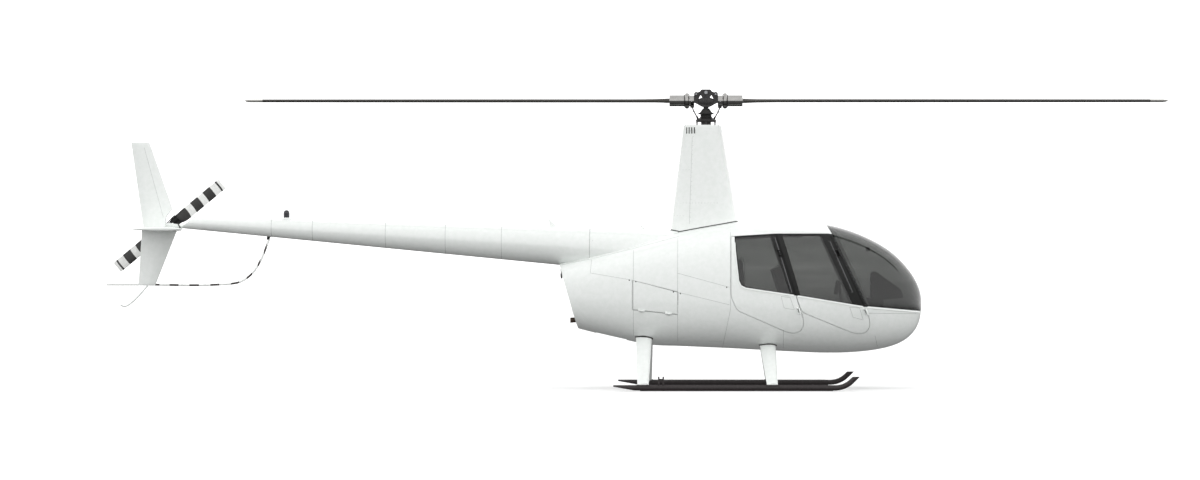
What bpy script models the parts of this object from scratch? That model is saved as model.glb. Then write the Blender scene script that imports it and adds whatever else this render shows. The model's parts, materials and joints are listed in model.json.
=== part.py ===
"""Four-seat light helicopter on skids: two-bladed teetering rotor, faired mast, slim tail boom.

Airframe coordinates, in metres: X forward from the rotor mast, Y to the left, Z up from the ground.
Every piece hangs on one empty, which moves the airframe so that the whole aircraft is centred in X.
"""

import math

import bmesh
import bpy
import numpy as np
from mathutils import Matrix, Vector

# Driving dimensions
ROTOR_RADIUS = 5.03
BLADE_Z = 3.134
TEETER_Z = 3.222
TAIL_ROTOR_RADIUS = 0.735
TAIL_ROTOR_X = -5.881
TAIL_ROTOR_Z = 1.774
TAIL_ROTOR_Y = 0.230
TAIL_ROTOR_PARK = math.radians(40)
GUARD_END_X = -6.530
SKID_TRACK = 2.12
SKID_RADIUS = 0.0285
SOLE = 0.006
NOSE_X = 2.352
MAST_X = (-GUARD_END_X - ROTOR_RADIUS) / 2

# Wall thicknesses and gaps
CABIN_WALL = 0.030
COWL_WALL = 0.012
GLASS = 0.006
PANE = 0.005
SEAT_GAP = 0.0004
DOOR_GAP = 0.006
DOOR_SKIN = 0.012
PAN_STEP = 0.014
PAN_TOP = 1.640
JAMB = 0.058
JAMB_LIP = 0.032
POST_HALF = 0.0175

# Door hinges: each hinge line by two points of the side view, its stand-off, and the knuckle's sizes
FRONT_HINGE = ((1.736, 0.840), (1.438, 1.475))
REAR_HINGE = ((1.0125, 0.850), (0.808, 1.475))
HINGE_CLEAR = 0.012
HINGE_LENGTH = 0.040
HINGE_LUG = 0.014
HINGE_RADIUS = 0.008
HINGE_PLATE = 0.006
HINGE_SLIT = 0.0009

# Body sections, by distance aft of the nose: top, bottom, half width, height of the widest line
BODY = (
    (0.00, 0.938, 0.938, 0.000, 0.938),
    (0.04, 1.127, 0.700, 0.185, 0.935),
    (0.16, 1.319, 0.545, 0.345, 0.935),
    (0.32, 1.479, 0.464, 0.452, 0.940),
    (0.55, 1.622, 0.414, 0.537, 0.950),
    (0.82, 1.731, 0.390, 0.592, 0.955),
    (1.05, 1.787, 0.387, 0.620, 0.960),
    (1.38, 1.810, 0.399, 0.638, 0.960),
    (1.70, 1.818, 0.415, 0.642, 0.965),
    (2.05, 1.812, 0.434, 0.640, 0.975),
    (2.64, 1.705, 0.460, 0.592, 0.990),
    (2.95, 1.625, 0.473, 0.550, 1.000),
    (3.20, 1.553, 0.520, 0.508, 1.005),
    (3.60, 1.447, 0.614, 0.430, 1.015),
    (4.10, 1.318, 0.745, 0.330, 1.020),
)
UPPER_POWER = 2.6
LOWER_POWER = 2.7
RING_POINTS = 32
BODY_STATIONS = (0.10, 0.22, 0.34, 0.46, 0.58, 0.70, 0.82, 0.94, 1.06, 1.18, 1.30, 1.42, 1.54, 1.63, 1.72,
                 1.80, 1.90, 2.02)

# Tail boom axis and radius, by X
BOOM_FRONT_X, BOOM_SEAM_X = -0.30, -1.262
BOOM_SLOPE = -0.0628
BOOM_Z0 = 1.449
BOOM_R0, BOOM_TAPER = 0.263, 0.0347
BOOM_WALL = 0.006
FIN_Y = -0.080
STABILIZER_Z = 1.730
STABILIZER_HALF = 0.026
STABILIZER_ROOT_Y = -0.010
FIN_NOTCH = ((-5.800, 1.975), (-5.812, 1.953), (-5.880, 1.870), (-5.893, 1.700), (-5.700, 1.700),
             (-5.600, 1.975))

# Side outlines, as (X, Z)
CABIN_REGION = ((0.266, 2.3), (0.266, 0.864), (0.172, 0.40), (0.172, 0.2), (2.7, 0.2), (2.7, 2.3))
WINDSHIELD = ((1.306, 1.787), (1.368, 1.673), (1.742, 0.898), (2.45, 0.832), (2.45, 2.1), (1.143, 2.1))
FRONT_DOOR = ((0.760, 1.680), (1.338, 1.680), (1.706, 0.902), (1.762, 0.772), (1.772, 0.690),
              (1.738, 0.622), (1.660, 0.598), (1.570, 0.618), (1.037, 0.838), (0.993, 0.960))
REAR_DOOR = ((0.2745, 1.650), (0.752, 1.680), (0.985, 0.960), (1.000, 0.910), (1.040, 0.800),
             (1.056, 0.706), (1.028, 0.640), (0.966, 0.606), (0.880, 0.618), (0.340, 0.856),
             (0.2745, 1.000))
FRONT_WINDOW = ((0.829, 1.662), (1.248, 1.662), (1.577, 0.930), (1.550, 0.924), (1.050, 1.000),
                (1.022, 1.008))
REAR_WINDOW = ((0.322, 1.640), (0.699, 1.662), (0.906, 1.034), (0.882, 1.031), (0.440, 1.104),
               (0.392, 1.128), (0.368, 1.175))
DOOR_SWEEP = ((1.050, 1.600), (1.050, 1.672), (1.335, 1.672), (1.380, 1.570), (1.300, 1.550))
COWL_DOOR = ((-0.791, 1.176), (-0.301, 1.052), (-0.306, 0.811), (-0.791, 0.862))
REAR_FACE = ((-1.588, 1.331), (-1.391, 0.660))

MATERIALS = {
    "white_paint": ((0.86, 0.87, 0.86), 0.18, 0.0),
    "black_paint": ((0.02, 0.02, 0.022), 0.35, 0.0),
    "tinted_acrylic": ((0.10, 0.11, 0.11), 0.05, 0.0),
    "dark_steel": ((0.09, 0.085, 0.085), 0.40, 0.8),
    "grey_alloy": ((0.45, 0.45, 0.46), 0.35, 0.9),
    "blade_paint": ((0.16, 0.16, 0.155), 0.45, 0.0),
    "seat_leather": ((0.05, 0.05, 0.055), 0.6, 0.0),
    "cabin_trim": ((0.12, 0.12, 0.125), 0.8, 0.0),
    "lamp_cover": ((0.03, 0.03, 0.06), 0.15, 0.0),
}


def material(name):
    """The named finish, made once."""
    found = bpy.data.materials.get(name)
    if found:
        return found
    colour, roughness, metallic = MATERIALS[name]
    made = bpy.data.materials.new(name)
    made.use_nodes = True
    shader = made.node_tree.nodes["Principled BSDF"]
    shader.inputs["Base Color"].default_value = (*colour, 1.0)
    shader.inputs["Roughness"].default_value = roughness
    shader.inputs["Metallic"].default_value = metallic
    return made


def solid(name, vertices, faces, finish="white_paint"):
    """One mesh object with its faces turned outwards."""
    mesh = bpy.data.meshes.new(name)
    mesh.from_pydata([tuple(map(float, v)) for v in vertices], [], [tuple(map(int, f)) for f in faces])
    work = bmesh.new()
    work.from_mesh(mesh)
    bmesh.ops.recalc_face_normals(work, faces=work.faces)
    work.to_mesh(mesh)
    work.free()
    made = bpy.data.objects.new(name, mesh)
    mesh.materials.append(material(finish))
    bpy.context.scene.collection.objects.link(made)
    return made


def drop(*objects):
    for item in objects:
        bpy.data.objects.remove(item)


def combine(target, other, operation, keep=False, solver="EXACT"):
    """A Boolean between two objects, applied at once; the second is removed unless kept."""
    step = target.modifiers.new(operation, "BOOLEAN")
    step.operation = operation
    step.object = other
    step.solver = solver
    graph = bpy.context.evaluated_depsgraph_get()
    mesh = bpy.data.meshes.new_from_object(target.evaluated_get(graph))
    target.modifiers.clear()
    finish = target.data.materials[0]
    target.data = mesh
    mesh.materials.clear()
    mesh.materials.append(finish)
    for face in mesh.polygons:
        face.material_index = 0
    if not keep:
        drop(other)
    return target


def copy_of(item, name):
    made = item.copy()
    made.data = item.data.copy()
    made.name = name
    bpy.context.scene.collection.objects.link(made)
    return made


def mirrored(item, name):
    """The same piece on the other side of the centre plane."""
    made = copy_of(item, name)
    made.data.transform(Matrix.Diagonal((1, -1, 1, 1)))
    made.data.flip_normals()
    return made


def rings_solid(name, rings, finish="white_paint", start=None, end=None):
    """A closed skin over rings of points; each end is a flat face, or closes on a tip point."""
    rings = np.asarray(rings, float)
    count, around = rings.shape[:2]
    vertices = list(rings.reshape(-1, 3))
    faces = []
    for i in range(count - 1):
        for j in range(around):
            k = (j + 1) % around
            faces.append((i * around + j, i * around + k, (i + 1) * around + k, (i + 1) * around + j))
    for tip, row in ((start, 0), (end, count - 1)):
        ring = [row * around + j for j in range(around)]
        if tip is None:
            faces.append(ring)
            continue
        vertices.append(np.asarray(tip, float))
        faces += [(ring[j], ring[(j + 1) % around], len(vertices) - 1) for j in range(around)]
    return solid(name, vertices, faces, finish)


def prism(name, outline, low, high, finish="white_paint", axis="Y"):
    """An outline carried straight along one axis, from low to high."""
    def at(a, b, depth):
        return {"Y": (a, depth, b), "Z": (a, b, depth), "X": (depth, a, b)}[axis]
    rings = [[at(a, b, depth) for a, b in outline] for depth in (low, high)]
    return rings_solid(name, rings, finish)


def box(name, low, high, finish="white_paint"):
    outline = ((low[0], low[2]), (high[0], low[2]), (high[0], high[2]), (low[0], high[2]))
    return prism(name, outline, low[1], high[1], finish)


def rod(name, start, end, radius, finish="grey_alloy", sides=12, end_radius=None):
    """A round bar or cone between two points."""
    start, end = Vector(start), Vector(end)
    turn = (end - start).to_track_quat("Z", "Y")
    rings = []
    for centre, size in ((start, radius), (end, radius if end_radius is None else end_radius)):
        ring = []
        for j in range(sides):
            angle = 2 * math.pi * (j + 0.5) / sides
            ring.append(centre + turn @ Vector((size * math.cos(angle), size * math.sin(angle), 0)))
        rings.append(ring)
    return rings_solid(name, rings, finish)


def turned(name, profile, centre, finish="dark_steel", sides=20, axis="Z"):
    """A closed profile of (radius, height) pairs, from bottom to top, turned about an axis."""
    rings = []
    for radius, height in profile:
        ring = []
        for j in range(sides):
            angle = 2 * math.pi * j / sides
            a, b = radius * math.cos(angle), radius * math.sin(angle)
            offset = {"Z": (a, b, height), "Y": (a, height, -b), "X": (height, a, b)}[axis]
            ring.append(Vector(centre) + Vector(offset))
        rings.append(ring)
    return rings_solid(name, rings, finish)


def tube(name, points, radius, finish, sides=2):
    """A bent tube along a smooth line, with filled ends."""
    line = bpy.data.curves.new(name, "CURVE")
    line.dimensions = "3D"
    spline = line.splines.new("POLY")
    spline.points.add(len(points) - 1)
    for target, point in zip(spline.points, points):
        target.co = (*point, 1)
    line.bevel_depth = radius
    line.bevel_resolution = sides
    line.use_fill_caps = True
    guide = bpy.data.objects.new(name + "_line", line)
    bpy.context.scene.collection.objects.link(guide)
    graph = bpy.context.evaluated_depsgraph_get()
    mesh = bpy.data.meshes.new_from_object(guide.evaluated_get(graph))
    drop(guide)
    work = bmesh.new()
    work.from_mesh(mesh)
    bmesh.ops.remove_doubles(work, verts=work.verts, dist=1e-6)
    bmesh.ops.recalc_face_normals(work, faces=work.faces)
    work.to_mesh(mesh)
    work.free()
    made = bpy.data.objects.new(name, mesh)
    mesh.materials.clear()
    mesh.materials.append(material(finish))
    bpy.context.scene.collection.objects.link(made)
    return made


def smooth(table, column, at):
    """A monotone cubic through one column of a table, read against the root of its first column."""
    x = np.sqrt([row[0] for row in table])
    y = np.array([row[column] for row in table])
    slope = np.diff(y) / np.diff(x)
    tangent = np.concatenate([slope[:1], (slope[1:] + slope[:-1]) / 2, slope[-1:]])
    turning = slope[1:] * slope[:-1] <= 0
    tangent[1:-1][turning] = 0
    at = np.atleast_1d(np.asarray(at, float))
    i = np.clip(np.searchsorted(x, at) - 1, 0, len(x) - 2)
    step = x[i + 1] - x[i]
    t = (at - x[i]) / step
    return (
        (1 + 2 * t) * (1 - t) ** 2 * y[i]
        + t * (1 - t) ** 2 * step * tangent[i]
        + t * t * (3 - 2 * t) * y[i + 1]
        + t * t * (t - 1) * step * tangent[i + 1]
    )


def body_points(root_station, angle):
    """Outer skin: at each station, an upper and a lower superellipse share one widest line."""
    top, bottom, half, waist = (smooth(BODY, column, root_station) for column in (1, 2, 3, 4))
    up = np.sin(angle) >= 0
    power = np.where(up, UPPER_POWER, LOWER_POWER)
    height = np.where(up, top - waist, waist - bottom)
    across = half * np.sign(np.cos(angle)) * np.abs(np.cos(angle)) ** (2 / power)
    rise = height * np.sign(np.sin(angle)) * np.abs(np.sin(angle)) ** (2 / power)
    along = NOSE_X - root_station**2 + 0 * across
    return np.stack([along, across, waist + rise], axis=-1)


def body_solid(name, inset):
    """The whole body, taken in along its normals by the given depth."""
    stations, angles = np.meshgrid(BODY_STATIONS, np.arange(RING_POINTS) * 2 * np.pi / RING_POINTS,
                                   indexing="ij")
    shape, step = stations.shape, 1e-3

    def skin(s, a):
        return body_points(s.ravel(), a.ravel()).reshape(*shape, 3)

    across = skin(stations, angles + step) - skin(stations, angles - step)
    along = skin(stations + step, angles) - skin(stations - step, angles)
    normal = np.cross(across, along)
    normal /= np.linalg.norm(normal, axis=-1, keepdims=True)
    points = skin(stations, angles)
    outward = np.sign((normal[..., 1:] * (points[..., 1:] - (0, 1.0))).sum())
    return rings_solid(name, points - outward * inset * normal, start=(NOSE_X - inset, 0, BODY[0][1]))


def side_of_body(x, z):
    """The half width of the outer skin at a point of the side view."""
    root = math.sqrt(NOSE_X - x)
    top, bottom, half, waist = (float(smooth(BODY, column, root)[0]) for column in (1, 2, 3, 4))
    power = UPPER_POWER if z >= waist else LOWER_POWER
    height = top - waist if z >= waist else waist - bottom
    return half * max(0.0, 1 - (abs(z - waist) / height) ** power) ** (1 / power)


def grown(outline, by):
    """The outline moved outwards by a distance, or inwards if it is negative."""
    points = [Vector(p) for p in outline]
    area = sum(a.x * b.y - b.x * a.y for a, b in zip(points, points[1:] + points[:1]))
    turn = 1 if area > 0 else -1
    moved = []
    for before, here, after in zip(points[-1:] + points[:-1], points, points[1:] + points[:1]):
        first, second = (here - before).normalized(), (after - here).normalized()
        out_first = Vector((first.y, -first.x)) * turn
        out_second = Vector((second.y, -second.x)) * turn
        middle = (out_first + out_second) / (1 + out_first.dot(out_second))
        moved.append(tuple(here + middle * by))
    return moved


def layer(name, outer_inset, inner_inset, outline, low, high, finish="white_paint"):
    """The part of the body's wall between two depths that lies inside a side outline."""
    shell = body_solid(name, outer_inset)
    combine(shell, body_solid("inside", inner_inset), "DIFFERENCE")
    combine(shell, prism("region", outline, low, high), "INTERSECT")
    shell.data.materials[0] = material(finish)
    return shell


def boom_ring(x, shrink, sides=24):
    """One ring of the boom's cone, square to its slightly raised axis."""
    centre = Vector((x, 0, BOOM_Z0 + BOOM_SLOPE * x))
    radius = BOOM_R0 + BOOM_TAPER * x - shrink
    across, upward = Vector((0, 1, 0)), Vector((-BOOM_SLOPE, 0, 1)).normalized()
    ring = []
    for j in range(sides):
        angle = 2 * math.pi * j / sides
        ring.append(centre + radius * (math.cos(angle) * across + math.sin(angle) * upward))
    return ring


def boom_cone(name, stations, shrink=0.0):
    return rings_solid(name, [boom_ring(x, shrink) for x in stations])


def wing(name, sections, finish="white_paint", spread="Z", points=9):
    """A solid of symmetrical aerofoil sections: each is (span, leading, trailing, thickness, offset)."""
    rings = []
    for span, leading, trailing, thick, offset in sections:
        chord = leading - trailing
        share = (1 - np.cos(np.linspace(0, np.pi, points))) / 2
        half = thick * 2.67 * (np.sqrt(share) * 0.5 - 0.21 * share - 0.29 * share**2) + 0.0015 * share
        upper = [(leading - chord * s, h) for s, h in zip(share, half)]
        lower = [(leading - chord * s, -h) for s, h in zip(share[::-1], half[::-1])]
        loop = upper + lower[:-1]
        ring = []
        for x, side in loop:
            ring.append({"Z": (x, offset + side, span), "Y": (x, span, offset + side)}[spread])
        rings.append(ring)
    return rings_solid(name, rings, finish)


def place(item, parent, origin=None):
    """Hangs a piece on its parent, with its origin at the given airframe point."""
    if origin is not None:
        origin = Vector(origin)
        item.data.transform(Matrix.Translation(-origin))
        item.location = origin
    item.parent = parent
    return item


def hinge_axis(edge_low, edge_high, side):
    """Two points of a door's hinge line, in a straight line clear of the bulging skin between them."""
    low, high = Vector(edge_low), Vector(edge_high)
    widths = []
    for share in np.linspace(0, 1, 21):
        spot = low.lerp(high, float(share))
        chord = (1 - share) * side_of_body(*low) + share * side_of_body(*high)
        widths.append(side_of_body(*spot) - chord)
    stand_off = max(widths) + HINGE_CLEAR
    return [Vector((p.x, side * (side_of_body(*p) + stand_off), p.y)) for p in (low, high)]


def hinge_part(name, centre, along, landing, length, thick):
    """A round knuckle on the hinge line, and the plate that joins it to its piece."""
    knuckle = rod(name, centre - along * length / 2, centre + along * length / 2, HINGE_RADIUS,
                  "black_paint", 10)
    out = landing - centre
    across = along.cross(out.normalized()).normalized()
    rings = []
    for share in (0.0, 1.0):
        ring = []
        for a, b in ((-1, -1), (1, -1), (1, 1), (-1, 1)):
            ring.append(centre + out * share + along * a * length * 0.34 + across * b * thick / 2)
        rings.append(ring)
    return combine(knuckle, rings_solid("plate", rings, "black_paint"), "UNION")


def door_opening(outline):
    """What a door's opening takes from the cabin wall: all but the jamb behind the door."""
    cutter = prism("opening", grown(outline, DOOR_GAP), -0.9, -0.05)
    return combine(cutter, body_solid("inside", CABIN_WALL + 0.008), "DIFFERENCE")


def make_door(name, outline, window, hinge_low, hinge_high, brackets):
    """A right-hand door with its pane, its hinge lugs, and the fixed brackets that they turn on."""
    door = layer(name, 0.0, DOOR_SKIN, outline, -0.9, -0.05)
    pan = layer("pan", DOOR_SKIN - 0.002, CABIN_WALL, grown(outline, -PAN_STEP), -0.9, -0.05)
    combine(pan, box("above", (0, -1, PAN_TOP), (3, 1, 2)), "DIFFERENCE")
    combine(door, pan, "UNION")
    combine(door, prism("hole", window, -0.9, -0.05), "DIFFERENCE")
    pane = layer(name + "_window", 0.002, 0.002 + PANE, grown(window, -SEAT_GAP), -0.9, -0.05,
                 "tinted_acrylic")
    axis = hinge_axis(hinge_low, hinge_high, -1)
    along = (axis[1] - axis[0]).normalized()
    slope = Vector((along.x, along.z)).normalized() * (HINGE_LENGTH / 2 + 0.008)
    for spot in axis:
        middle = Vector((spot.x + 0.020, spot.z))
        back = Vector((-0.040, 0))
        corners = (middle - slope, middle + slope, middle + slope + back, middle - slope + back)
        combine(door, prism("notch", [tuple(c) for c in corners], -0.9, -0.05), "DIFFERENCE")
        inward = spot + Vector((0, 0.10, 0))
        bracket = hinge_part("bracket", spot, along, inward, HINGE_LENGTH, HINGE_PLATE)
        combine(bracket, body_solid("inside", CABIN_WALL + 0.020), "DIFFERENCE")
        brackets.append(bracket)
        for way in (-1, 1):
            centre = spot + along * way * (HINGE_LENGTH / 2 + HINGE_SLIT + HINGE_LUG / 2)
            landing = Vector((centre.x - 0.030, 0, centre.z))
            landing.y = -side_of_body(landing.x, landing.z) + CABIN_WALL / 2
            combine(door, hinge_part("lug", centre, along, landing, HINGE_LUG, HINGE_PLATE * 2), "UNION",
                    solver="MANIFOLD")
    return door, pane, axis


def make_cabin():
    """The cabin's hollow shell with its door jambs, and everything that hangs in its openings."""
    made = {}
    shell = body_solid("cabin_shell", 0.0)
    combine(shell, body_solid("inside", CABIN_WALL), "DIFFERENCE")
    combine(shell, prism("region", CABIN_REGION, -1, 1), "INTERSECT")
    combine(shell, prism("opening", WINDSHIELD, -1, 1), "DIFFERENCE")
    both_doors = ((0.235, 1.72), (1.40, 1.72), (1.79, 0.86), (1.84, 0.66), (1.70, 0.545), (1.50, 0.565),
                  (1.10, 0.735), (1.10, 0.560), (0.86, 0.560), (0.30, 0.81), (0.235, 0.96))
    liner = layer("liner", CABIN_WALL - 0.002, JAMB, both_doors, -0.9, -0.05)
    combine(liner, prism("region", grown(CABIN_REGION, -0.001), -1, 1), "INTERSECT")
    for outline in (FRONT_DOOR, REAR_DOOR):
        combine(liner, prism("hole", grown(outline, -JAMB_LIP), -0.9, -0.05), "DIFFERENCE")
    combine(liner, prism("sweep", DOOR_SWEEP, -0.9, -0.05), "DIFFERENCE")
    combine(shell, mirrored(liner, "liner_left"), "UNION")
    combine(shell, liner, "UNION")

    doors, brackets = {}, []
    for where, outline, window, hinge in (
        ("front", FRONT_DOOR, FRONT_WINDOW, FRONT_HINGE),
        ("rear", REAR_DOOR, REAR_WINDOW, REAR_HINGE),
    ):
        doors[where] = make_door(f"{where}_door", outline, window, *hinge, brackets)
        cutter = door_opening(outline)
        combine(shell, mirrored(cutter, "opening_left"), "DIFFERENCE")
        combine(shell, cutter, "DIFFERENCE")
    for bracket in brackets:
        combine(shell, mirrored(bracket, "bracket_left"), "UNION")
        combine(shell, bracket, "UNION")
    made["cabin_shell"] = shell

    inside_frame = grown(WINDSHIELD, -SEAT_GAP)
    glass = layer("windshield_right", 0.0, GLASS, inside_frame, -1, -POST_HALF - SEAT_GAP, "tinted_acrylic")
    made["windshield_right"] = glass
    made["windshield_left"] = mirrored(glass, "windshield_left")
    made["windshield_post"] = layer("windshield_post", 0.0, 0.045, inside_frame, -POST_HALF, POST_HALF,
                                    "black_paint")
    return made, doors


def make_interior():
    """Floor with seat boxes, seats, console, controls and the bulkhead behind the cabin."""
    made = {}
    inner = CABIN_WALL + 0.001
    floor = body_solid("cabin_floor", inner)
    combine(floor, box("slab", (0.268, -1, 0.500), (2.06, 1, 0.515)), "INTERSECT")
    for low_x, high_x in ((0.285, 0.800), (0.930, 1.360)):
        seat_box = box("seat_box", (low_x, -0.50, 0.510), (high_x, 0.50, 0.760))
        combine(seat_box, body_solid("inside", JAMB + 0.006), "INTERSECT")
        combine(floor, seat_box, "UNION")
    combine(floor, box("tunnel", (0.79, -0.05, 0.510), (1.80, 0.05, 0.640)), "UNION")
    floor.data.materials[0] = material("cabin_trim")
    made["cabin_floor"] = floor

    bulkhead = body_solid("rear_bulkhead", inner)
    combine(bulkhead, box("slab", (0.250, -1, 0.3), (0.2655, 1, 2.0)), "INTERSECT")
    bulkhead.data.materials[0] = material("cabin_trim")
    made["rear_bulkhead"] = bulkhead

    front = ((0.935, 0.7605), (1.375, 0.7605), (1.395, 0.800), (1.370, 0.850), (1.020, 0.835),
             (0.960, 0.900), (0.815, 1.340), (0.740, 1.360), (0.700, 1.330), (0.830, 0.880))
    rear = ((0.300, 0.7605), (0.800, 0.7605), (0.820, 0.800), (0.790, 0.850), (0.480, 0.835),
            (0.440, 0.900), (0.385, 1.420), (0.330, 1.440), (0.290, 1.400), (0.290, 0.800))
    for where, outline in (("front", front), ("rear", rear)):
        for side, low, high in (("right", -0.495, -0.058), ("left", 0.058, 0.495)):
            made[f"seat_{where}_{side}"] = prism(f"seat_{where}_{side}", outline, low, high, "seat_leather")

    face = ((1.800, 0.955), (1.800, 1.262), (1.840, 1.277), (2.120, 1.075), (2.150, 0.985))
    pod = prism("instrument_console", face, -0.185, 0.185, "cabin_trim")
    combine(pod, prism("pedestal", ((1.690, 0.5155), (1.925, 0.5155), (1.945, 1.00), (1.810, 1.00)),
                       -0.105, 0.105, "cabin_trim"), "UNION")
    combine(floor, box("console_space", (1.68, -0.06, 0.5152), (1.95, 0.06, 0.70)), "DIFFERENCE")
    made["instrument_console"] = pod

    stick = rod("cyclic_stick", (1.50, 0, 0.6420), (1.455, 0, 1.120), 0.016, "black_paint", 10)
    combine(stick, rod("bar", (1.455, -0.30, 1.150), (1.455, 0.30, 1.150), 0.012, "black_paint", 10),
            "UNION")
    combine(stick, rod("riser", (1.457, 0, 1.10), (1.455, 0, 1.155), 0.014, "black_paint", 10), "UNION")
    for y in (-0.29, 0.29):
        combine(stick, rod("grip", (1.440, y, 1.170), (1.415, y, 1.020), 0.018, "black_paint", 10), "UNION")
    made["cyclic_stick"] = stick

    pedals = rod("pedals", (1.985, -0.29, 0.600), (1.985, 0.29, 0.600), 0.010, "grey_alloy", 8)
    for y in (-0.25, -0.13, 0.13, 0.25):
        side = ((1.975, 0.600), (1.995, 0.600), (1.985, 0.700), (1.950, 0.770), (1.940, 0.760))
        lever = prism("lever", side, y - 0.030, y + 0.030, "grey_alloy")
        combine(pedals, lever, "UNION")
    for y in (-0.19, 0.19):
        combine(pedals, box("foot", (1.975, y - 0.012, 0.5155), (1.995, y + 0.012, 0.600), "grey_alloy"),
                "UNION")
    made["pedals"] = pedals
    return made


def make_aft_body():
    """Engine cowling with the boom's root fairing, its two service doors and its rear screen."""
    made = {}
    (top_x, top_z), (low_x, low_z) = REAR_FACE
    lean = (top_x - low_x) / (top_z - low_z)
    behind = ((low_x + lean * (2.3 - low_z), 2.3), (low_x + lean * (0.2 - low_z), 0.2))
    seam = 0.266 - SEAT_GAP
    region = ((seam, 2.3), (seam, 0.864), (seam - 0.094, 0.40), (seam - 0.094, 0.2), behind[1], behind[0])
    cowl = body_solid("aft_cowling", 0.0)
    combine(cowl, boom_cone("fairing", (BOOM_SEAM_X, -0.9, -0.5, BOOM_FRONT_X)), "UNION")
    hollow = body_solid("inside", COWL_WALL)
    combine(hollow, boom_cone("inner", (BOOM_SEAM_X - 0.05, -0.9, -0.5, BOOM_FRONT_X - 0.02), COWL_WALL),
            "UNION")
    combine(cowl, hollow, "DIFFERENCE")
    combine(cowl, prism("region", region, -1, 1), "INTERSECT")
    combine(cowl, boom_cone("trough", (BOOM_SEAM_X + SEAT_GAP, -1.9), -SEAT_GAP), "DIFFERENCE")
    combine(cowl, rod("mast_hole", (0, 0, 1.5), (0, 0, 1.95), 0.085, sides=20), "DIFFERENCE")
    belly = prism("belly_hole", ((-1.20, -0.15), (-0.86, -0.18), (-0.86, 0.18), (-1.20, 0.15)), 0.3, 0.75,
                  axis="Z")
    combine(cowl, belly, "DIFFERENCE")

    door = layer("cowl_door", 0.0, COWL_WALL, COWL_DOOR, -0.9, -0.2)
    opening = prism("opening", grown(COWL_DOOR, DOOR_GAP), -0.9, -0.2)
    combine(cowl, mirrored(opening, "opening_left"), "DIFFERENCE")
    combine(cowl, opening, "DIFFERENCE")
    axis = hinge_axis((-0.791, 0.859), (-0.306, 0.808), -1)
    along = (axis[1] - axis[0]).normalized()
    for share in (0.2, 0.8):
        spot = axis[0].lerp(axis[1], share)
        below = Vector((spot.x, 0, spot.z - 0.020))
        below.y = -side_of_body(below.x, below.z) + COWL_WALL / 2
        bracket = hinge_part("bracket", spot, along, below, HINGE_LENGTH, HINGE_PLATE)
        combine(cowl, mirrored(bracket, "bracket_left"), "UNION")
        combine(cowl, bracket, "UNION")
        for way in (-1, 1):
            centre = spot + along * way * (HINGE_LENGTH / 2 + HINGE_SLIT + HINGE_LUG / 2)
            above = Vector((centre.x, 0, centre.z + 0.020))
            above.y = -side_of_body(above.x, above.z) + COWL_WALL / 2
            combine(door, hinge_part("lug", centre, along, above, HINGE_LUG, HINGE_PLATE), "UNION")
    made["aft_cowling"] = cowl

    slab = [(x + 0.020, z) for x, z in (behind[1], behind[0])]
    slab += [(x + 0.028, z) for x, z in (behind[0], behind[1])]
    screen = body_solid("rear_screen", COWL_WALL + 0.0008)
    combine(screen, prism("slab", slab, -1, 1), "INTERSECT")
    combine(screen, boom_cone("boom_space", (-0.9, -1.9), -0.003), "DIFFERENCE")
    screen.data.materials[0] = material("dark_steel")
    pipe_hole = rod("pipe_hole", (-1.30, -0.12, 0.750), (-1.60, -0.12, 0.735), 0.034, sides=14)
    combine(screen, copy_of(pipe_hole, "pipe_hole_low"), "DIFFERENCE")
    combine(cowl, pipe_hole, "DIFFERENCE")
    made["rear_screen"] = screen
    return made, (door, axis)


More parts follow.
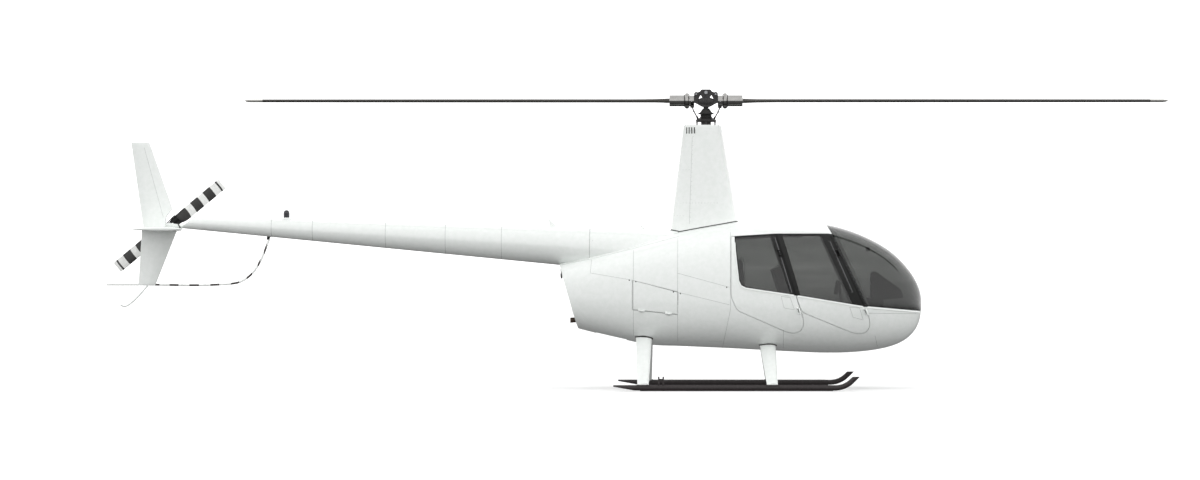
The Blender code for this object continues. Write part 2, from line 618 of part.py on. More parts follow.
def make_power():
    """Plain engine block with its mounting struts, exhaust, cooling fan, and the rotor's gearbox."""
    made = {}
    block = box("engine_block", (-1.02, -0.19, 0.600), (-0.34, 0.19, 0.960), "grey_alloy")
    for x in (-0.88, -0.50):
        for side in (-1, 1):
            low, high = sorted((side * 0.18, side * 0.35))
            combine(block, box("cylinder", (x - 0.11, low, 0.720), (x + 0.11, high, 0.900), "grey_alloy"),
                    "UNION")
    for y in (-0.16, 0.16):
        for z in (0.66, 0.92):
            combine(block, rod("strut", (-0.36, y, z), (0.2496, y, z), 0.014, "grey_alloy", 8), "UNION")
    combine(block, rod("fan_shaft", (-1.00, 0, 0.860), (-1.175, 0, 0.860), 0.050, "grey_alloy", 14),
            "UNION")
    pipe = [(-0.95, -0.12, 0.64), (-1.15, -0.12, 0.70), (-1.30, -0.12, 0.75), (-1.475, -0.12, 0.742)]
    combine(block, tube("exhaust", pipe, 0.028, "dark_steel"), "UNION")
    made["engine_block"] = block
    fan = ((0.05, -1.281), (0.205, -1.280), (0.205, -1.176), (0.05, -1.1754))
    made["cooling_fan"] = turned("cooling_fan", fan, (0, 0, 0.985), "grey_alloy", 24, "X")

    gearbox = box("main_gearbox", (-0.150, -0.125, 1.330), (0.150, 0.125, 1.560), "grey_alloy")
    for y in (-0.10, 0.10):
        for z in (1.37, 1.52):
            combine(gearbox, rod("strut", (0.14, y, z), (0.2496, y, z), 0.014, "grey_alloy", 8), "UNION")
    sleeve = ((0.090, 1.55), (0.060, 1.68), (0.052, 1.72), (0.052, 2.895))
    combine(gearbox, turned("sleeve", sleeve, (0, 0, 0), "grey_alloy", 16), "UNION")
    combine(gearbox, turned("bore", ((0.0345, 1.50), (0.0345, 2.95)), (0, 0, 0), "grey_alloy", 16),
            "DIFFERENCE")
    made["main_gearbox"] = gearbox
    plate = ((0.058, 2.872), (0.113, 2.880), (0.113, 2.912), (0.060, 2.912))
    plate = turned("swashplate_lower", plate, (0, 0, 0), "grey_alloy", 24)
    combine(plate, turned("bore", ((0.0525, 2.8), (0.0525, 3.0)), (0, 0, 0), "grey_alloy", 16),
            "DIFFERENCE")
    for angle in (0, 120, 240):
        x, y = 0.098 * math.cos(math.radians(angle)), 0.098 * math.sin(math.radians(angle))
        combine(plate, rod("pushrod", (x, y, 2.885), (x * 0.72, y * 0.72, 2.60), 0.008, "grey_alloy", 8),
                "UNION")
    made["swashplate_lower"] = plate
    return made


def make_mast_fairing():
    """The tall hollow tower round the mast: rounded in front, thin at the back."""
    def section(z, nose, tail, half, inset):
        ring = []
        centre = nose - half * 1.35
        for j in range(28):
            angle = 2 * math.pi * j / 28
            along, across = math.cos(angle), math.sin(angle)
            if along >= 0:
                ring.append((centre + (half * 1.35 - inset) * along, (half - inset) * across, z))
            else:
                pinch = math.copysign(abs(across) ** 1.25, across)
                ring.append((centre + (centre - tail - inset * 2) * along, (half - inset) * pinch, z))
        return ring

    low_z, top_z = 1.62, 2.870
    low, top = (0.377, -0.396, 0.175), (0.166, -0.2455, 0.118)
    outer = rings_solid("mast_fairing", [section(low_z, *low, 0), section(top_z, *top, 0)])
    inner = rings_solid("inner", [section(low_z - 0.01, *low, 0.010), section(top_z - 0.010, *top, 0.010)])
    combine(outer, inner, "DIFFERENCE")
    combine(outer, body_solid("inside", -SEAT_GAP), "DIFFERENCE")
    combine(outer, boom_cone("cone", (-0.9, BOOM_FRONT_X), -SEAT_GAP), "DIFFERENCE")
    combine(outer, rod("hole", (0, 0, 2.8), (0, 0, 2.95), 0.110, sides=20), "DIFFERENCE")
    return outer


def make_tail():
    """Boom, gearbox, fins, stabilizer, guard and tail skid."""
    made = {}
    boom = boom_cone("tail_boom", (BOOM_SEAM_X - SEAT_GAP, -2.7, -4.2, -5.45, -5.75))
    combine(boom, boom_cone("inner", (-1.0, -5.40), BOOM_WALL), "DIFFERENCE")
    behind = ((-5.568, 1.880), (-5.730, 1.746), (-5.730, 1.60), (-6.0, 1.60), (-6.0, 1.98))
    combine(boom, prism("bevel", behind, -0.2, 0.2), "DIFFERENCE")
    made["tail_boom"] = boom

    def gearbox(name, grow):
        axis = (0, 0, BOOM_Z0 + BOOM_SLOPE * -5.72)
        profile = ((0.030 + grow, -5.985 - grow), (0.055 + grow, -5.950), (0.055 + grow, -5.78),
                   (0.060 + grow, -5.72), (0.060 + grow, -5.50))
        case = turned(name, profile, axis, "grey_alloy", 16, "X")
        near, far = (TAIL_ROTOR_X, 0, TAIL_ROTOR_Z), (TAIL_ROTOR_X, 0.125, TAIL_ROTOR_Z)
        combine(case, rod("output", near, far, 0.042 + grow, sides=14), "UNION")
        return case

    case = gearbox("tail_gearbox", 0.0)
    s = SEAT_GAP
    ahead = [(-5.568 - s, 1.880 + s), (-5.730 - s, 1.746 + s), (-5.730 - s, 1.60)]
    ahead += [(-5.3, 1.60), (-5.3, 1.98)]
    combine(case, prism("ahead", ahead, -0.2, 0.2), "DIFFERENCE")
    made["tail_gearbox"] = case

    def stabilizer(name, grow):
        return wing(name, (
            (-0.760, -5.640, -6.195, 0.040 + 2 * grow, STABILIZER_Z),
            (STABILIZER_ROOT_Y, -5.640, -6.195, 2 * (STABILIZER_HALF + grow), STABILIZER_Z),
        ), spread="Y")

    pieces = {
        "upper_fin": wing("upper_fin", ((STABILIZER_Z + 0.004, -5.730, -6.127, 0.050, FIN_Y),
                                        (2.679, -6.062, -6.262, 0.026, FIN_Y))),
        "lower_fin": wing("lower_fin", ((1.118, -5.998, -6.182, 0.026, FIN_Y),
                                        (STABILIZER_Z - 0.004, -5.759, -6.145, 0.048, FIN_Y))),
    }
    for piece in pieces.values():
        combine(piece, stabilizer("space", SEAT_GAP), "DIFFERENCE")
    pieces["horizontal_stabilizer"] = stabilizer("horizontal_stabilizer", 0.0)
    for piece in pieces.values():
        combine(piece, gearbox("space", SEAT_GAP), "DIFFERENCE")
        combine(piece, boom_cone("space", (-5.3, -5.76), -SEAT_GAP), "DIFFERENCE")
    combine(pieces["upper_fin"], prism("notch", FIN_NOTCH, -0.2, 0.0), "DIFFERENCE")
    made.update(pieces)

    guard_y = FIN_Y + 0.0135 + 0.0125
    guard = [(GUARD_END_X, guard_y, 1.130), (-6.18, guard_y, 1.130), (-5.303, guard_y, 1.130),
             (-5.18, guard_y, 1.138), (-5.10, guard_y, 1.152), (-5.02, guard_y * 0.9, 1.190),
             (-4.954, guard_y * 0.8, 1.244), (-4.866, guard_y * 0.6, 1.375),
             (-4.801, guard_y * 0.3, 1.528), (-4.762, 0, 1.645)]
    hoop = tube("tail_guard", guard, 0.012, "white_paint")
    combine(hoop, boom_cone("boom_space", (-4.5, -5.1), -SEAT_GAP), "DIFFERENCE")
    made["tail_guard"] = hoop

    skid_rod = tube("tail_skid", [(-6.083, FIN_Y, 1.117), (-6.150, FIN_Y, 1.040), (-6.250, FIN_Y, 0.940),
                                  (-6.313, FIN_Y, 0.898), (-6.345, FIN_Y, 0.894), (-6.376, FIN_Y, 0.909)],
                    0.010, "white_paint")
    combine(skid_rod, box("above", (-6.3, -0.2, 1.1176), (-5.9, 0.2, 1.2)), "DIFFERENCE")
    made["tail_skid"] = skid_rod

    top = BOOM_Z0 + BOOM_SLOPE * -4.577 + BOOM_R0 + BOOM_TAPER * -4.577
    foot = ((0.052, top - 0.03), (0.052, top + 0.008), (0.034, top + 0.018))
    base = turned("beacon_base", foot, (-4.577, 0, 0), "white_paint", 16)
    combine(base, boom_cone("boom_space", (-4.3, -4.9), -SEAT_GAP), "DIFFERENCE")
    made["beacon_base"] = base
    dome = ((0.031, top + 0.0184), (0.031, top + 0.070), (0.024, top + 0.090), (0.010, top + 0.100))
    made["beacon_lens"] = turned("beacon_lens", dome, (-4.577, 0, 0), "lamp_cover", 16)
    return made


def make_antennas():
    made = {}
    for name, base_low, base_high, tip, z in (
        ("antenna_rear", -1.717, -1.615, (-1.925, 2.163), 1.715),
        ("antenna_front", -0.720, -0.620, (-0.938, 2.157), 1.660),
    ):
        foot_x = base_low + 0.020
        blade = prism(name, ((base_low, z), (base_high, z), (base_high - 0.012, z + 0.045),
                             (foot_x + 0.020, z + 0.095), (foot_x - 0.006, z + 0.095),
                             (base_low + 0.004, z + 0.040)), -0.008, 0.008)
        whip = (foot_x + 0.006, 0, z + 0.070), (tip[0], 0, tip[1])
        combine(blade, rod("whip", *whip, 0.0045, "black_paint", 6, 0.0025), "UNION")
        combine(blade, boom_cone("boom_space", (BOOM_FRONT_X, BOOM_SEAM_X, -2.2), -SEAT_GAP), "DIFFERENCE")
        made[name] = blade
    return made


def make_landing_gear():
    made = {}
    centre_z = SOLE + SKID_RADIUS
    y = -SKID_TRACK / 2
    line = [(-0.985, y, centre_z), (-0.76, y, centre_z), (1.30, y, centre_z), (1.408, y, centre_z)]
    line += [(1.47, y, centre_z + 0.014), (1.53, y, centre_z + 0.046), (1.575, y, centre_z + 0.085),
             (1.63, y, centre_z + 0.142)]
    skid = tube("skid_right", line, SKID_RADIUS, "dark_steel", 3)
    tip = ((1.50, 0.152), (1.75, 0.152), (1.75, 0.3), (1.50, 0.3))
    heel = ((-0.755, -0.02), (-0.755, SOLE - 0.0005), (-1.05, SOLE + 0.052), (-1.05, -0.02))
    for outline in (tip, heel):
        combine(skid, prism("cut", outline, -1.3, -0.8), "DIFFERENCE")
    combine(skid, box("sole", (-0.70, y - 0.019, 0.0), (1.36, y + 0.019, SOLE + 0.008), "dark_steel"),
            "UNION")
    for x in (-0.500, -0.452):
        lug = box("lug", (x - 0.008, y - 0.016, 0.05), (x + 0.008, y + 0.016, 0.153), "dark_steel")
        combine(skid, lug, "UNION")
    combine(skid, box("lug_bar", (-0.500, y - 0.010, 0.105), (-0.452, y + 0.010, 0.130), "dark_steel"),
            "UNION")
    made["skid_right"] = skid
    made["skid_left"] = mirrored(skid, "skid_left")
    for where, top, bottom in (
        ("front", (0.666, 0.490, 0.177), (0.714, 0.050, 0.116)),
        ("rear", (-0.670, 0.546, 0.175), (-0.668, 0.050, 0.120)),
    ):
        leg = wing(f"leg_{where}_right", (
            (-0.330, top[0] + top[2] / 2, top[0] - top[2] / 2, 0.062, top[1] + 0.030),
            (y, bottom[0] + bottom[2] / 2, bottom[0] - bottom[2] / 2, 0.050, bottom[1] + 0.006),
        ), spread="Y", points=7)
        combine(leg, body_solid("body_space", -SEAT_GAP), "DIFFERENCE")
        combine(leg, rod("skid_space", (-2, y, centre_z), (2, y, centre_z), SKID_RADIUS + 0.0005, sides=16),
                "DIFFERENCE")
        combine(leg, box("below", (-1, -1.4, -0.2), (1.2, -0.9, SOLE + 0.012)), "DIFFERENCE")
        made[leg.name] = leg
        made[f"leg_{where}_left"] = mirrored(leg, f"leg_{where}_left")
    return made


def make_main_rotor():
    """Pieces that turn with the mast, and those that also teeter on it."""
    turning, teetering = {}, {}
    mast = turned("rotor_mast", ((0.028, 1.720), (0.028, 3.205)), (0, 0, 0), "grey_alloy", 16)
    combine(mast, turned("eye", ((0.030, -0.020), (0.030, 0.020)), (0, 0, TEETER_Z), "grey_alloy", 16, "Y"),
            "UNION")
    collar = ((0.040, 2.978), (0.085, 2.990), (0.085, 3.000), (0.040, 3.030))
    combine(mast, turned("collar", collar, (0, 0, 0), "dark_steel"), "UNION")
    bore = ((0.0135, -0.05), (0.0135, 0.05))
    combine(mast, turned("pin_bore", bore, (0, 0, TEETER_Z), "grey_alloy", 14, "Y"), "DIFFERENCE")
    turning["rotor_mast"] = mast
    plate = turned("swashplate_upper", ((0.113, 2.9126), (0.113, 2.930), (0.060, 2.940)), (0, 0, 0),
                   "grey_alloy", 24)
    combine(plate, turned("bore", ((0.0284, 2.8), (0.0284, 3.0)), (0, 0, 0), "grey_alloy", 16),
            "DIFFERENCE")
    turning["swashplate_upper"] = plate
    for name, way in (("pitch_link_a", 1), ("pitch_link_b", -1)):
        link = rod(name, (0.092 * way, 0.045 * way, 2.9374), (0.140 * way, 0.1335 * way, 3.030), 0.0075,
                   "grey_alloy", 10)
        top = rod("top", (0.140 * way, 0.1335 * way, 3.024), (0.150 * way, 0.1335 * way, 3.082), 0.0075,
                  "grey_alloy", 10)
        turning[name] = combine(link, top, "UNION")

    hub = box("rotor_hub", (-0.130, 0.034, 3.110), (0.130, 0.062, 3.200), "dark_steel")
    combine(hub, box("cheek", (-0.130, -0.062, 3.110), (0.130, -0.034, 3.200), "dark_steel"), "UNION")
    for y in (-0.048, 0.048):
        roof = ((-0.075, 3.195), (0.075, 3.195), (0.045, 3.256), (-0.045, 3.256))
        combine(hub, prism("top", roof, y - 0.014, y + 0.014, "dark_steel"), "UNION")
    for way in (-1, 1):
        combine(hub, box("end", (*sorted((0.085 * way, 0.130 * way))[:1], -0.062, 3.110),
                         (*sorted((0.085 * way, 0.130 * way))[1:], 0.062, 3.200), "dark_steel"), "UNION")
        for name, near, far, radius in (("grip", 0.120, 0.400, 0.061), ("ring", 0.190, 0.230, 0.0825)):
            piece = rod(name, (near * way, 0, BLADE_Z), (far * way, 0, BLADE_Z), radius, "grey_alloy", 18)
            combine(hub, piece, "UNION")
        horn = [(x * way, y * way) for x, y in ((0.135, 0), (0.165, 0), (0.165, 0.119), (0.135, 0.119))]
        combine(hub, prism("horn", horn, 3.0565, 3.0725, "dark_steel", "Z"), "UNION")
        combine(hub, box("horn_root", (*sorted((0.130 * way, 0.170 * way))[:1], -0.02, 3.058),
                         (*sorted((0.130 * way, 0.170 * way))[1:], 0.02, 3.10), "dark_steel"), "UNION")
    combine(hub, rod("teeter_bolt", (0, -0.070, TEETER_Z), (0, 0.070, TEETER_Z), 0.0125, "grey_alloy", 14),
            "UNION")
    teetering["rotor_hub"] = hub
    for name, way in (("main_blade_a", 1), ("main_blade_b", -1)):
        teetering[name] = make_main_blade(name, way)
    return turning, teetering


def make_main_blade(name, way):
    """A blade along X: its root plate in the grip's fork, then an aerofoil of even chord to the tip."""
    rings = []
    for radius, lead, trail, thick in (
        (0.4004, 0.055, 0.055, 0.050), (0.470, 0.060, 0.062, 0.045), (0.560, 0.064, 0.110, 0.036),
        (0.800, 0.0635, 0.1905, 0.032), (2.700, 0.0635, 0.1905, 0.030), (5.000, 0.0635, 0.1905, 0.028),
        (ROTOR_RADIUS, 0.050, 0.185, 0.010),
    ):
        share = (1 - np.cos(np.linspace(0, np.pi, 7))) / 2
        half = thick / 2 * np.maximum(2.5 * np.sqrt(share) * (1 - share) ** 0.9, 0.06)
        half = np.minimum(half, thick / 2)
        run = lead - (lead + trail) * share
        upper = [(way * radius, way * y, BLADE_Z + h) for y, h in zip(run, half)]
        lower = [(way * radius, way * y, BLADE_Z - h) for y, h in zip(run[::-1], half[::-1])]
        rings.append(upper + lower)
    return rings_solid(name, rings, "blade_paint")


def make_tail_rotor():
    made = {}
    x, y, z = TAIL_ROTOR_X, TAIL_ROTOR_Y, TAIL_ROTOR_Z
    hub = rod("tail_rotor_hub", (x, 0.1256, z), (x, y + 0.045, z), 0.021, "grey_alloy", 14)
    direction = Vector((math.cos(TAIL_ROTOR_PARK), 0, math.sin(TAIL_ROTOR_PARK)))
    centre = Vector((x, y, z))
    yoke = rod("yoke", centre - direction * 0.125, centre + direction * 0.125, 0.026, "grey_alloy", 12)
    combine(hub, yoke, "UNION")
    made["tail_rotor_hub"] = hub
    chordwise = Vector((-direction.z, 0, direction.x))
    for name, way in (("tail_blade_a", 1), ("tail_blade_b", -1)):
        rings = []
        for radius, lead, trail, thick in (
            (0.1254, 0.030, 0.030, 0.030), (0.170, 0.045, 0.075, 0.020), (0.700, 0.045, 0.079, 0.014),
            (TAIL_ROTOR_RADIUS, 0.035, 0.075, 0.006),
        ):
            share = (1 - np.cos(np.linspace(0, np.pi, 7))) / 2
            half = thick / 2 * np.maximum(2.5 * np.sqrt(share) * (1 - share) ** 0.9, 0.1)
            half = np.minimum(half, thick / 2)
            run = np.concatenate([lead - (lead + trail) * share, (lead - (lead + trail) * share)[::-1]])
            height = np.concatenate([half, -half[::-1]])
            spot = centre + direction * radius * way
            across = [(chordwise * way * float(a), float(h)) for a, h in zip(run, height)]
            rings.append([tuple(spot + chord + Vector((0, h, 0))) for chord, h in across])
        made[name] = rings_solid(name, rings, "blade_paint")
    return made


def hang(pieces, airframe, origin=None):
    for item in pieces:
        place(item, airframe, origin)


def both_sides(item, name, airframe, axis_point):
    """The right-hand piece and its mirror image, each with its origin on its own joint axis."""
    for side, flip in (("right", 1), ("left", -1)):
        full_name = name.format(side)
        piece = copy_of(item, full_name) if flip > 0 else mirrored(item, full_name)
        place(piece, airframe, (axis_point.x, axis_point.y * flip, axis_point.z))
    drop(item)


def main():
    clear_scene()
    airframe = bpy.data.objects.new("airframe", None)
    airframe.location = (MAST_X, 0, 0)
    bpy.context.scene.collection.objects.link(airframe)
    cabin, doors = make_cabin()
    aft, (cowl_door, cowl_axis) = make_aft_body()
    turning, teetering = make_main_rotor()
    fixed = [*cabin.values(), *aft.values(), make_mast_fairing()]
    for group in (make_interior(), make_power(), make_tail(), make_antennas(), make_landing_gear()):
        fixed += group.values()
    hang(fixed, airframe)
    hang(turning.values(), airframe, (0, 0, 1.72))
    hang(teetering.values(), airframe, (0, 0, TEETER_Z))
    hang(make_tail_rotor().values(), airframe, (TAIL_ROTOR_X, TAIL_ROTOR_Y, TAIL_ROTOR_Z))
    for where, (door, pane, axis) in doors.items():
        both_sides(door, f"door_{where}_{{}}", airframe, axis[0])
        both_sides(pane, f"door_window_{where}_{{}}", airframe, axis[0])
    both_sides(cowl_door, "cowl_door_{}", airframe, cowl_axis[0])
    for name, point in (*((n, d[2]) for n, d in doors.items()), ("cowl", cowl_axis)):
        print("axis", name, [[round(v, 5) for v in (p.x + MAST_X, p.y, p.z)] for p in point])


def clear_scene():
    for item in list(bpy.data.objects):
        bpy.data.objects.remove(item)


main()
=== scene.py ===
# %% [markdown]
# # A light helicopter on skids
# This lesson dresses a frame of solids with the surfaces that the eye meets: painted skins, smoked
# windows, a teetering rotor, a striped tail rotor and padded seats. The frame gives every place and every
# joint, so each piece here is only shaped, finished and told which body carries it.

# %% Load the frame
import json
import math

import bpy
import numpy as np
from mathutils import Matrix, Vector

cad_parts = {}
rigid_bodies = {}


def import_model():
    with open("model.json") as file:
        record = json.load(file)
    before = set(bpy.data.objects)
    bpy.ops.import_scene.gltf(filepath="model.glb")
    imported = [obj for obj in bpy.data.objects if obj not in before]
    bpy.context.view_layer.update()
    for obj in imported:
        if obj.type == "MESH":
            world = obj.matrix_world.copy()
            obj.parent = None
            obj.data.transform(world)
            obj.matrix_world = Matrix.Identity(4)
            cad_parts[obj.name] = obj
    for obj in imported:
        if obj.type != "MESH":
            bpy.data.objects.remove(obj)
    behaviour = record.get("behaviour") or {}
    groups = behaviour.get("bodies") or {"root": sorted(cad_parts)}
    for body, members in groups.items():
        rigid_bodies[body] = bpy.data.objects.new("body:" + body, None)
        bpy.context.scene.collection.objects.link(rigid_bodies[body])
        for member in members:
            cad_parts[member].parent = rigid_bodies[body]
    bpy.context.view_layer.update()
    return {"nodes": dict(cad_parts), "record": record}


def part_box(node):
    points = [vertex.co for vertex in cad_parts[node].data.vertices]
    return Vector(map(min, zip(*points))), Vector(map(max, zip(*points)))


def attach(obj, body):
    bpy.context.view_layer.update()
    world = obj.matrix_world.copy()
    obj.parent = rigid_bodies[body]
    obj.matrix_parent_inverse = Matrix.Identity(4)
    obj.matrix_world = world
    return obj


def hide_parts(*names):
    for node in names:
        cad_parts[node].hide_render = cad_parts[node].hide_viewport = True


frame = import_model()
mast_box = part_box("rotor_mast")
MAST_X = (mast_box[0].x + mast_box[1].x) / 2
print("frame:", len(frame["nodes"]), "nodes; the mast stands at X", round(MAST_X, 4))

# %% [markdown]
# ## Grids of points
# Almost every piece is a surface over two parameters. Its points are worked out as one numpy array, rows along
# the piece and columns round it, and joined by quads. Working in whole arrays keeps each formula readable in one
# line, and a piece gets finer by changing one number. X runs forward from the mast until a mesh is made.

# %% Grids, lathes and sweeps
def grid_shape(points, loop=True, ends=(True, True)):
    """Points (rows, columns, 3) and their quads; a loop joins the last column to the first, and an end closes on
    the mean of its row."""
    points = np.asarray(points, float)
    rows, columns = points.shape[:2]
    index = np.arange(rows * columns).reshape(rows, columns)
    ahead = np.roll(index, -1, axis=1)
    if not loop:
        index, ahead = index[:, :-1], ahead[:, :-1]
    quads = [np.stack([index[:-1], ahead[:-1], ahead[1:], index[1:]], axis=-1).reshape(-1, 4)]
    flat = [points.reshape(-1, 3)]
    for row, wanted in zip((0, -1), ends):
        if not wanted or not loop:
            continue
        middle = np.full(columns, sum(len(part) for part in flat))
        flat.append(points[row].mean(axis=0, keepdims=True))
        first, second = (ahead[row], index[row]) if row == 0 else (index[row], ahead[row])
        quads.append(np.stack([first, second, middle, middle], axis=-1))
    return np.concatenate(flat), np.concatenate(quads)


def merged(*shapes):
    """Several shapes as one, their quads counted on."""
    starts = np.cumsum([0] + [len(points) for points, _ in shapes[:-1]])
    quads = [quads + start for (_, quads), start in zip(shapes, starts)]
    return np.concatenate([points for points, _ in shapes]), np.concatenate(quads)


def outward(shape):
    """Turned inside out if its signed volume, the sum of its corner tetrahedra, is negative."""
    points, quads = shape
    a, b, c, d = (points[quads[:, i]] for i in range(4))
    volume = np.einsum("ij,ij->", a, np.cross(b, c)) + np.einsum("ij,ij->", a, np.cross(c, d))
    return (points, flipped(quads)) if volume < 0 else shape


def flipped(quads):
    """Each face's corners in reverse; a triangle repeats its last corner and keeps that form."""
    three = quads[:, 2] == quads[:, 3]
    turned = quads[:, ::-1].copy()
    turned[three] = quads[three][:, [1, 0, 2, 2]]
    return turned


def mirrored(shape):
    """The same shape on the other side of the centre plane."""
    points, quads = shape
    return points * (1, -1, 1), flipped(quads)


def lathe(profile, centre=(0, 0, 0), axis="Z", sides=32):
    """(radius, height) pairs turned about an axis: two coordinates are radius times cosine and sine."""
    radius, height = np.asarray(profile, float).T
    angle = np.arange(sides) * 2 * np.pi / sides
    a, b = np.outer(radius, np.cos(angle)), np.outer(radius, np.sin(angle))
    h = np.repeat(height[:, None], sides, axis=1)
    order = {"Z": (a, b, h), "Y": (a, h, -b), "X": (h, a, b)}[axis]
    return outward(grid_shape(np.stack(order, axis=-1) + np.asarray(centre)))


def frames(path, up=(0, 0, 1)):
    """For each point of a path, the sideways and upward directions square to it."""
    along = np.gradient(path, axis=0)
    along /= np.linalg.norm(along, axis=1, keepdims=True)
    side = np.cross(along, np.broadcast_to(up, along.shape))
    side /= np.linalg.norm(side, axis=1, keepdims=True)
    return side, np.cross(side, along)


def sweep(path, radius, sides=12, up=(0, 0, 1), flat=1.0, ends=(True, True)):
    """A round or oval section carried along a path: path + radius (cosine side + flat sine upward)."""
    path = np.asarray(path, float)
    side, upward = frames(path, up)
    angle = (np.arange(sides) + 0.5) * 2 * np.pi / sides
    radius = np.broadcast_to(radius, len(path))[:, None, None]
    ring = np.cos(angle)[None, :, None] * side[:, None] + flat * np.sin(angle)[None, :, None] * upward[:, None]
    return outward(grid_shape(path[:, None] + radius * ring, ends=ends))


def ribbon(path, normal, half_width, low, high):
    """A flat strip on a surface: four corners at plus and minus the half width, low and high along the normal."""
    along = np.gradient(path, axis=0)
    side = np.cross(along, normal)
    side /= np.linalg.norm(side, axis=1, keepdims=True)
    corners = [path + side * half_width * a + normal * b for a, b in ((-1, low), (1, low), (1, high), (-1, high))]
    return outward(grid_shape(np.stack(corners, axis=1)))


def curve_through(points, count):
    """A smooth line: each coordinate is a cubic Hermite in the length along the chords, slopes from neighbours."""
    points = np.asarray(points, float)
    length = np.concatenate([[0], np.cumsum(np.linalg.norm(np.diff(points, axis=0), axis=1))])
    slope = np.gradient(points, length, axis=0)
    at = np.linspace(0, length[-1], count)
    i = np.clip(np.searchsorted(length, at) - 1, 0, len(length) - 2)
    step = (length[i + 1] - length[i])[:, None]
    t = (at[:, None] - length[i][:, None]) / step
    return ((1 + 2 * t) * (1 - t) ** 2 * points[i] + t * (1 - t) ** 2 * step * slope[i]
            + t * t * (3 - 2 * t) * points[i + 1] + t * t * (t - 1) * step * slope[i + 1])


def rounded_box(low, high, radius, steps=5):
    """A box whose edges are rounded: the corner of a shrunken box plus radius times a sphere's normal."""
    low, high = np.asarray(low, float), np.asarray(high, float)
    quarter = np.linspace(0.001, 0.999, steps) * np.pi / 2
    turn = np.concatenate([quarter + k * np.pi / 2 for k in range(4)])
    rise = np.concatenate([quarter - np.pi / 2, quarter])
    normal = np.stack([np.outer(np.cos(rise), np.cos(turn)), np.outer(np.cos(rise), np.sin(turn)),
                       np.repeat(np.sin(rise)[:, None], len(turn), axis=1)], axis=-1)
    half = (high - low) / 2 - radius
    return outward(grid_shape((low + high) / 2 + np.sign(normal) * half + radius * normal))


def rod(start, end, radius, end_radius=None, sides=20):
    """A bar with a small chamfer at each end: a lathe profile laid along the line between two points."""
    start, end = np.asarray(start, float), np.asarray(end, float)
    end_radius = radius if end_radius is None else end_radius
    length = np.linalg.norm(end - start)
    chamfer = min(radius, end_radius, length / 2) * 0.18
    share = np.array([0, chamfer, length - chamfer, length]) / length
    up = (0, 0, 1) if abs(end[2] - start[2]) < 0.9 * length else (1, 0, 0)
    width = np.array([radius - chamfer, radius, end_radius, end_radius - chamfer])
    return sweep(start + share[:, None] * (end - start), width, sides, up)


def prism(outline, low, high, axis="Y", loop_flat=True):
    """An outline carried straight along one axis, from low to high."""
    a, b = np.asarray(outline, float).T
    rows = []
    for depth in (low, high):
        d = np.full(len(a), float(depth))
        rows.append(np.stack({"Y": (a, d, b), "Z": (a, b, d), "X": (d, a, b)}[axis], axis=-1))
    return outward(grid_shape(np.stack(rows)))


def rounded(outline, radius, steps=6):
    """An outline with its corners cut round by quadratic arcs, radius along each side from the corner."""
    here = np.asarray(outline, float)
    before, after = np.roll(here, 1, axis=0), np.roll(here, -1, axis=0)
    back, on = before - here, after - here
    back_length, on_length = (np.linalg.norm(v, axis=1, keepdims=True) for v in (back, on))
    radius = np.broadcast_to(radius, len(here)).reshape(-1, 1)
    reach = np.minimum(radius, 0.49 * np.minimum(back_length, on_length))
    start, end = here + back / back_length * reach, here + on / on_length * reach
    t = np.linspace(0, 1, steps)[None, :, None]
    arcs = (1 - t) ** 2 * start[:, None] + 2 * t * (1 - t) * here[:, None] + t ** 2 * end[:, None]
    return arcs.reshape(-1, 2)


def grown(outline, by):
    """The outline with each side moved outwards by a distance, or inwards if it is negative."""
    here = np.asarray(outline, float)
    first, second = here - np.roll(here, 1, axis=0), np.roll(here, -1, axis=0) - here
    first, second = (v / np.linalg.norm(v, axis=1, keepdims=True) for v in (first, second))
    x, z = here.T
    turn = np.sign((x * np.roll(z, -1) - np.roll(x, -1) * z).sum())
    out_first, out_second = (np.stack([v[:, 1], -v[:, 0]], axis=1) * turn for v in (first, second))
    middle = (out_first + out_second) / (1 + (out_first * out_second).sum(axis=1, keepdims=True))
    return here + middle * by


def copies(shape, spots, axes):
    """The same small shape at many places: spot + x first + y second + z third axis of each place."""
    points, quads = shape
    placed = spots[:, None] + np.einsum("pi,nij->npj", points, axes)
    offsets = np.arange(len(spots))[:, None, None] * len(points)
    return placed.reshape(-1, 3), (quads[None] + offsets).reshape(-1, 4)


# %% [markdown]
# ## From shape to piece
# A piece needs five things: its mesh, a finish, the body that carries it, the colour slot it belongs to, and the
# plain solids that it stands for. One function takes all five and sets the finish, the body and the hidden solids;
# the slot is passed in but not used.

# %% Make a piece
def mesh_object(name, shape):
    """A mesh object at the origin, with the shape moved from the mast's coordinates to the frame's."""
    points, quads = shape
    three = quads[:, 2] == quads[:, 3]
    faces = quads[~three].tolist() + quads[three][:, :3].tolist()
    mesh = bpy.data.meshes.new(name)
    mesh.from_pydata((points + (MAST_X, 0, 0)).tolist(), [], faces)
    made = bpy.data.objects.new(name, mesh)
    bpy.context.scene.collection.objects.link(made)
    return made


def carry(piece, finish, body, slot, *nodes):
    """Gives a mesh its finish and its body, and lets it stand for CAD nodes; its slot is not used."""
    piece.data.materials.clear()
    piece.data.materials.append(finish)
    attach(piece, body)
    if nodes:
        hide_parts(*nodes)
    return piece


def make(name, shape, finish, body, slot, *nodes, sharp=35):
    """A finished piece, smooth but for edges sharper than the given angle."""
    piece = mesh_object(name, shape)
    piece.data.shade_smooth()
    piece.data.set_sharp_from_angle(angle=math.radians(sharp))
    return carry(piece, finish, body, slot, *nodes)


